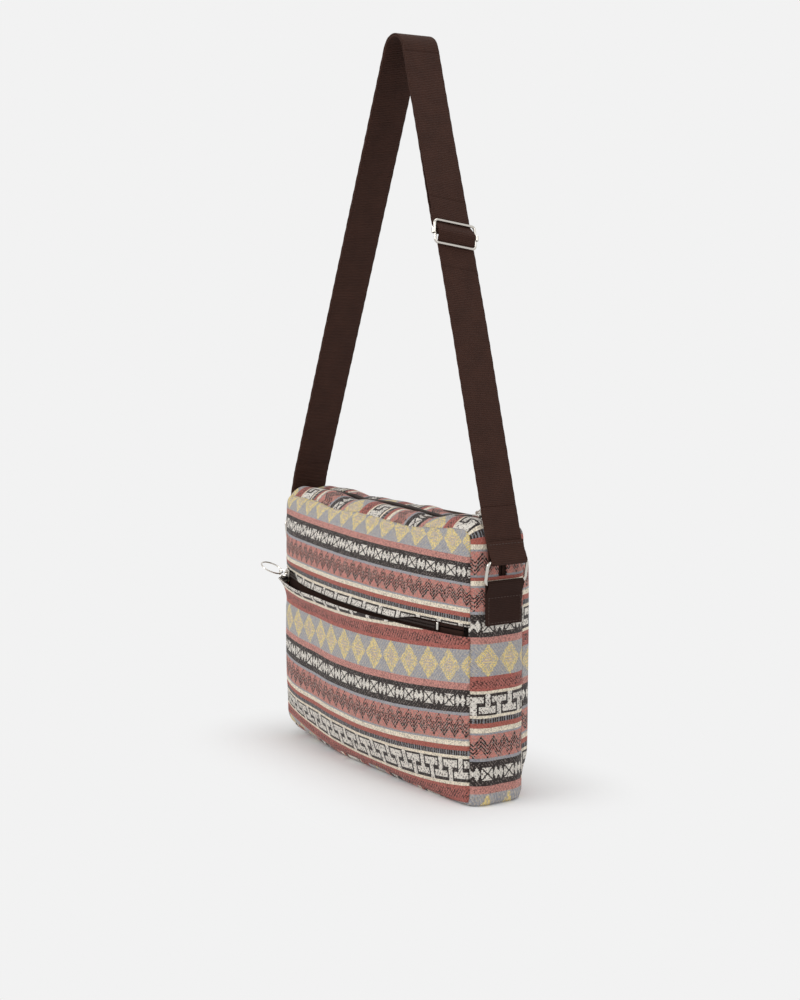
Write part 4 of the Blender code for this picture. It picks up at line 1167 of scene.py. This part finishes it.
strap_lengths = {}
current = None
for station in strap_line:
    zone = strap_zone(station[0])
    if current is None or zone != current[0]:
        if current:
            current[1].append(station)
        current = (zone, [station])
        strap_lengths.setdefault(zone, []).append(current[1])
    else:
        current[1].append(station)
strap_pieces = {}
for zone, lengths in strap_lengths.items():
    kept = [stations for stations in lengths if len(stations) > 1]
    strap_pieces[zone] = webbing(zone, kept, skew=adjuster_skew)
    print(zone, len(kept), sum(len(stations) for stations in kept))
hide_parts("strap_webbing")
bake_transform(strap_pieces["strap_right_end"])
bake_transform(strap_pieces["strap_right_lower"])
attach(strap_pieces["strap_at_adjuster"], "adjuster")
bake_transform(strap_pieces["strap_right_upper"])
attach(strap_pieces["strap_top"], "bag")
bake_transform(strap_pieces["strap_left_end"], "bag", "left_ring", left_low.spot(58 * MM), left_low.spot(14 * MM))


# %% [markdown]
# Each ring hangs in a tab: a short length of the same webbing, folded over the ring's
# lower bar and sewn to the side. A row of stitches close under the bar keeps it there.

# %% Tabs and stitches
STITCH_HALF, STITCH_STEP, STITCH_RADIUS = 1.1 * MM, 3.3 * MM, 0.3 * MM
TAB_EDGE = 17 * MM


def tab_stations(side):
    """The outline of a tab: up the side, over the ring's bar and down again."""
    inner = HALF_WIDTH + SIDE_CROWN + GAP + WEB / 2
    wrap = RING_WIRE + GAP + WEB / 2
    outer = inner + LAYER
    foot, top, drop = RING_HEIGHT - 36 * MM, RING_HEIGHT + wrap, RING_HEIGHT - 9 * MM
    return Run([(side * inner, foot), (side * inner, top, wrap), (side * (RING_X + wrap), top, wrap),
                (side * (RING_X + wrap), RING_HEIGHT - 1.5 * MM, 3 * MM), (side * outer, drop, 6 * MM),
                (side * outer, foot)]).stations(2.0 * MM)


def stitch_row(name, spots, body):
    """Thread stitches, each a short rounded bar between two points."""
    bm = bmesh.new()
    for start, end in spots:
        start, end = Vector(start), Vector(end)
        line = end - start
        turn = line.to_track_quat("Z", "Y").to_matrix().to_4x4()
        size = Matrix.Diagonal((STITCH_RADIUS, STITCH_RADIUS, line.length / 2 + 0.1 * MM, 1))
        bmesh.ops.create_uvsphere(bm, u_segments=8, v_segments=6, radius=1.0,
                                  matrix=Matrix.Translation((start + end) / 2) @ turn @ size)
    piece = mesh_piece(name, bm, THREAD)
    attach(piece, body)
    return piece


def across_row(x, z):
    """Eleven stitches side by side over the width of the webbing."""
    places = [(k - 5) * STITCH_STEP for k in range(11)]
    return [((x, y - STITCH_HALF, z), (x, y + STITCH_HALF, z)) for y in places]


for label, side in (("right", 1), ("left", -1)):
    # The tab's darker webbing colour is painted shade.
    tab = webbing("tab_cloth_" + label, [tab_stations(side)], SHADED_TAB_WEBBING)
    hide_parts("tab_" + label)
    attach(tab, "bag")
    face = side * (HALF_WIDTH + SIDE_CROWN + GAP + WEB / 2 + LAYER + WEB / 2)
    spots = across_row(face, RING_HEIGHT - 12 * MM) + across_row(face, RING_HEIGHT - 34 * MM)
    for k in range(7):
        z = RING_HEIGHT + (-32.4 + 3.1 * k) * MM
        for y in (-TAB_EDGE, TAB_EDGE):
            spots.append(((face, y, z - STITCH_HALF), (face, y, z + STITCH_HALF)))
    stitch_row("tab_stitches_" + label, spots, "bag")

x, _, z = right_leg.spot(15 * MM, HALF_LAYER + WEB / 2)
stitch_row("strap_end_stitches", across_row(x, z), "right_ring")
print("tabs and stitches done")


# %% [markdown]
# Bent wire makes the strap's rings and the adjuster's frame. Each is a smooth closed loop
# of round section, drawn at the same place as its solid but with a finer surface. A
# bevelled curve needs only its path, where a mesh would have to be shaped at each bend.

# %% Wire pieces
def wire(name, points, radius, body, node):
    piece = round_line(name, points, radius, 5, NICKEL, closed=True)
    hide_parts(node)
    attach(piece, body)
    return piece


def rounded_loop(across, along, corner, low=0.0):
    """Points round an upright oblong with rounded corners."""
    half, high = across / 2, low + along
    run = Run([(0, low), (half, low, corner), (half, high, corner),
               (-half, high, corner), (-half, low, corner), (0, low)])
    return [Vector((0, point.x, point.y)) for point, _, _ in run.stations(1.0 * MM)][:-1]


for label, side in (("right", 1), ("left", -1)):
    seat = Matrix.Translation((side * RING_X, 0, RING_HEIGHT)) @ Matrix.Rotation(side * RING_TILT, 4, "Y")
    loop = rounded_loop(42.4 * MM, RING_SPACING, 4.5 * MM)
    wire("strap_ring_" + label, [seat @ point for point in loop], RING_WIRE, label + "_ring", "ring_" + label)

x, _, z = right_leg.spot(ADJUSTER_PLACE, STANDOFF)
lean = math.atan2(right_leg.up.x, right_leg.up.y)
seat = Matrix.Translation((x, 0, z)) @ Matrix.Rotation(lean, 4, "Y") @ Matrix.Rotation(-SKEW, 4, "X")
loop = rounded_loop(42.2 * MM, 2 * RAIL_SPACING, 3.2 * MM, -RAIL_SPACING)
wire("adjuster_frame", [seat @ point for point in loop], 1.25 * MM, "adjuster", "strap_adjuster_frame")
print("two rings and the adjuster's frame, leaning", round(math.degrees(lean), 1), "degrees")


# %% [markdown]
# The solids left in view are the sliders, pulls, stops and the bar of the adjuster. Their
# shapes are right, so they keep their meshes and only take the plated finish. The inner
# bags take the lining cloth.

# %% Finishes on the solids that stay
def finish(node, material):
    """A solid keeps its mesh and takes this material alone."""
    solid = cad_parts[node]
    solid.data.materials.clear()
    solid.data.materials.append(material)


plated = ["strap_adjuster_bar"]
for label in ("front_zip_", "main_zip_"):
    plated += [label + part for part in ("slider", "link", "ring", "bottom_stop")]
plated += ["front_zip_top_stop_upper", "front_zip_top_stop_lower"]
plated += ["main_zip_top_stop_front", "main_zip_top_stop_back"]
for node in plated:
    finish(node, NICKEL)
for node in ("main_lining", "pocket_bag"):
    finish(node, LINING)
print("plated solids", len(plated))


# %% [markdown]
# The bag stands on a pale sweep in soft light from the left and above. The floor catches
# the shadow near the bag and fades to the plain backdrop further out.

# %% Floor and light
BACKDROP = "#f2f2f2"
SHADOW_HALF_SIZE = (0.14, 0.03, 0)
FADE_LENGTH = 0.13


def seen(tree):
    """1 for rays that the camera sees, straight or mirrored or through, and 0 for light."""
    path = add(tree, "LightPath")
    mirrored = add(tree, "MAXIMUM", path.outputs["Is Camera Ray"], path.outputs["Is Glossy Ray"])
    return add(tree, "MAXIMUM", mirrored, path.outputs["Is Transmission Ray"])


floor_material, tree, shader = new_material("pale_paper_sweep", Base_Color=linear("#f6f6f6"), Roughness=0.9)
shader.inputs["Specular IOR Level"].default_value = 0.1
place = add(tree, "NewGeometry").outputs["Position"]
from_centre = add(tree, "VectorMath", {"operation": "ABSOLUTE"}, place)
past_edge = add(tree, "VectorMath", {"operation": "SUBTRACT"}, from_centre, SHADOW_HALF_SIZE)
outside = add(tree, "VectorMath", {"operation": "MAXIMUM"}, past_edge, (0, 0, 0))
distance = add(tree, "VectorMath", {"operation": "LENGTH"}, outside)
fade = add(tree, "MapRange", {"interpolation_type": "SMOOTHSTEP"}, Value=distance.outputs["Value"],
           From_Min=0.0, From_Max=FADE_LENGTH)
glow = add(tree, "Emission", Color=linear(BACKDROP), Strength=1.0)
share = add(tree, "MULTIPLY", fade, seen(tree))
mixed = add(tree, "MixShader", i0=share, i1=shader.outputs[0], i2=glow)
tree.links.new(mixed.outputs[0], tree.nodes["Material Output"].inputs[0])

bpy.ops.mesh.primitive_circle_add(vertices=64, radius=6, fill_type="NGON", location=(0, 0, -0.0004))
floor = bpy.context.object
floor.name = "paper_floor"
floor.data.materials.append(floor_material)

world = bpy.data.worlds.new("soft_room")
bpy.context.scene.world = world
world.use_nodes = True
tree = world.node_tree
room = tree.nodes["Background"]
room.inputs["Color"].default_value = linear("#ffffff")
room.inputs["Strength"].default_value = 0.55
backdrop = add(tree, "Background", Color=linear(BACKDROP), Strength=1.0)
mixed = add(tree, "MixShader", i0=seen(tree), i1=room.outputs[0], i2=backdrop)
tree.links.new(mixed.outputs[0], tree.nodes["World Output"].inputs[0])


def softbox(name, place, target, size, power):
    """A wide soft lamp that looks at a target."""
    light = bpy.data.lights.new(name, "AREA")
    light.shape = "RECTANGLE"
    light.size, light.size_y = size
    light.energy = power
    lamp = bpy.data.objects.new(name, light)
    lamp.location = place
    lamp.rotation_euler = (Vector(target) - Vector(place)).to_track_quat("-Z", "Y").to_euler()
    bpy.context.scene.collection.objects.link(lamp)
    return lamp


softbox("front_softbox", (-0.6, -2.2, 1.6), (0, 0, 0.2), (1.6, 1.2), 26)
softbox("side_softbox", (2.4, 0.2, 1.7), (0, 0, 0.2), (1.4, 1.2), 12)
softbox("top_softbox", (0.2, 0.3, 2.6), (0, 0, 0.1), (1.6, 1.6), 12)
bpy.context.scene.view_settings.view_transform = "Standard"
print("lights", [lamp.name for lamp in bpy.data.lights])
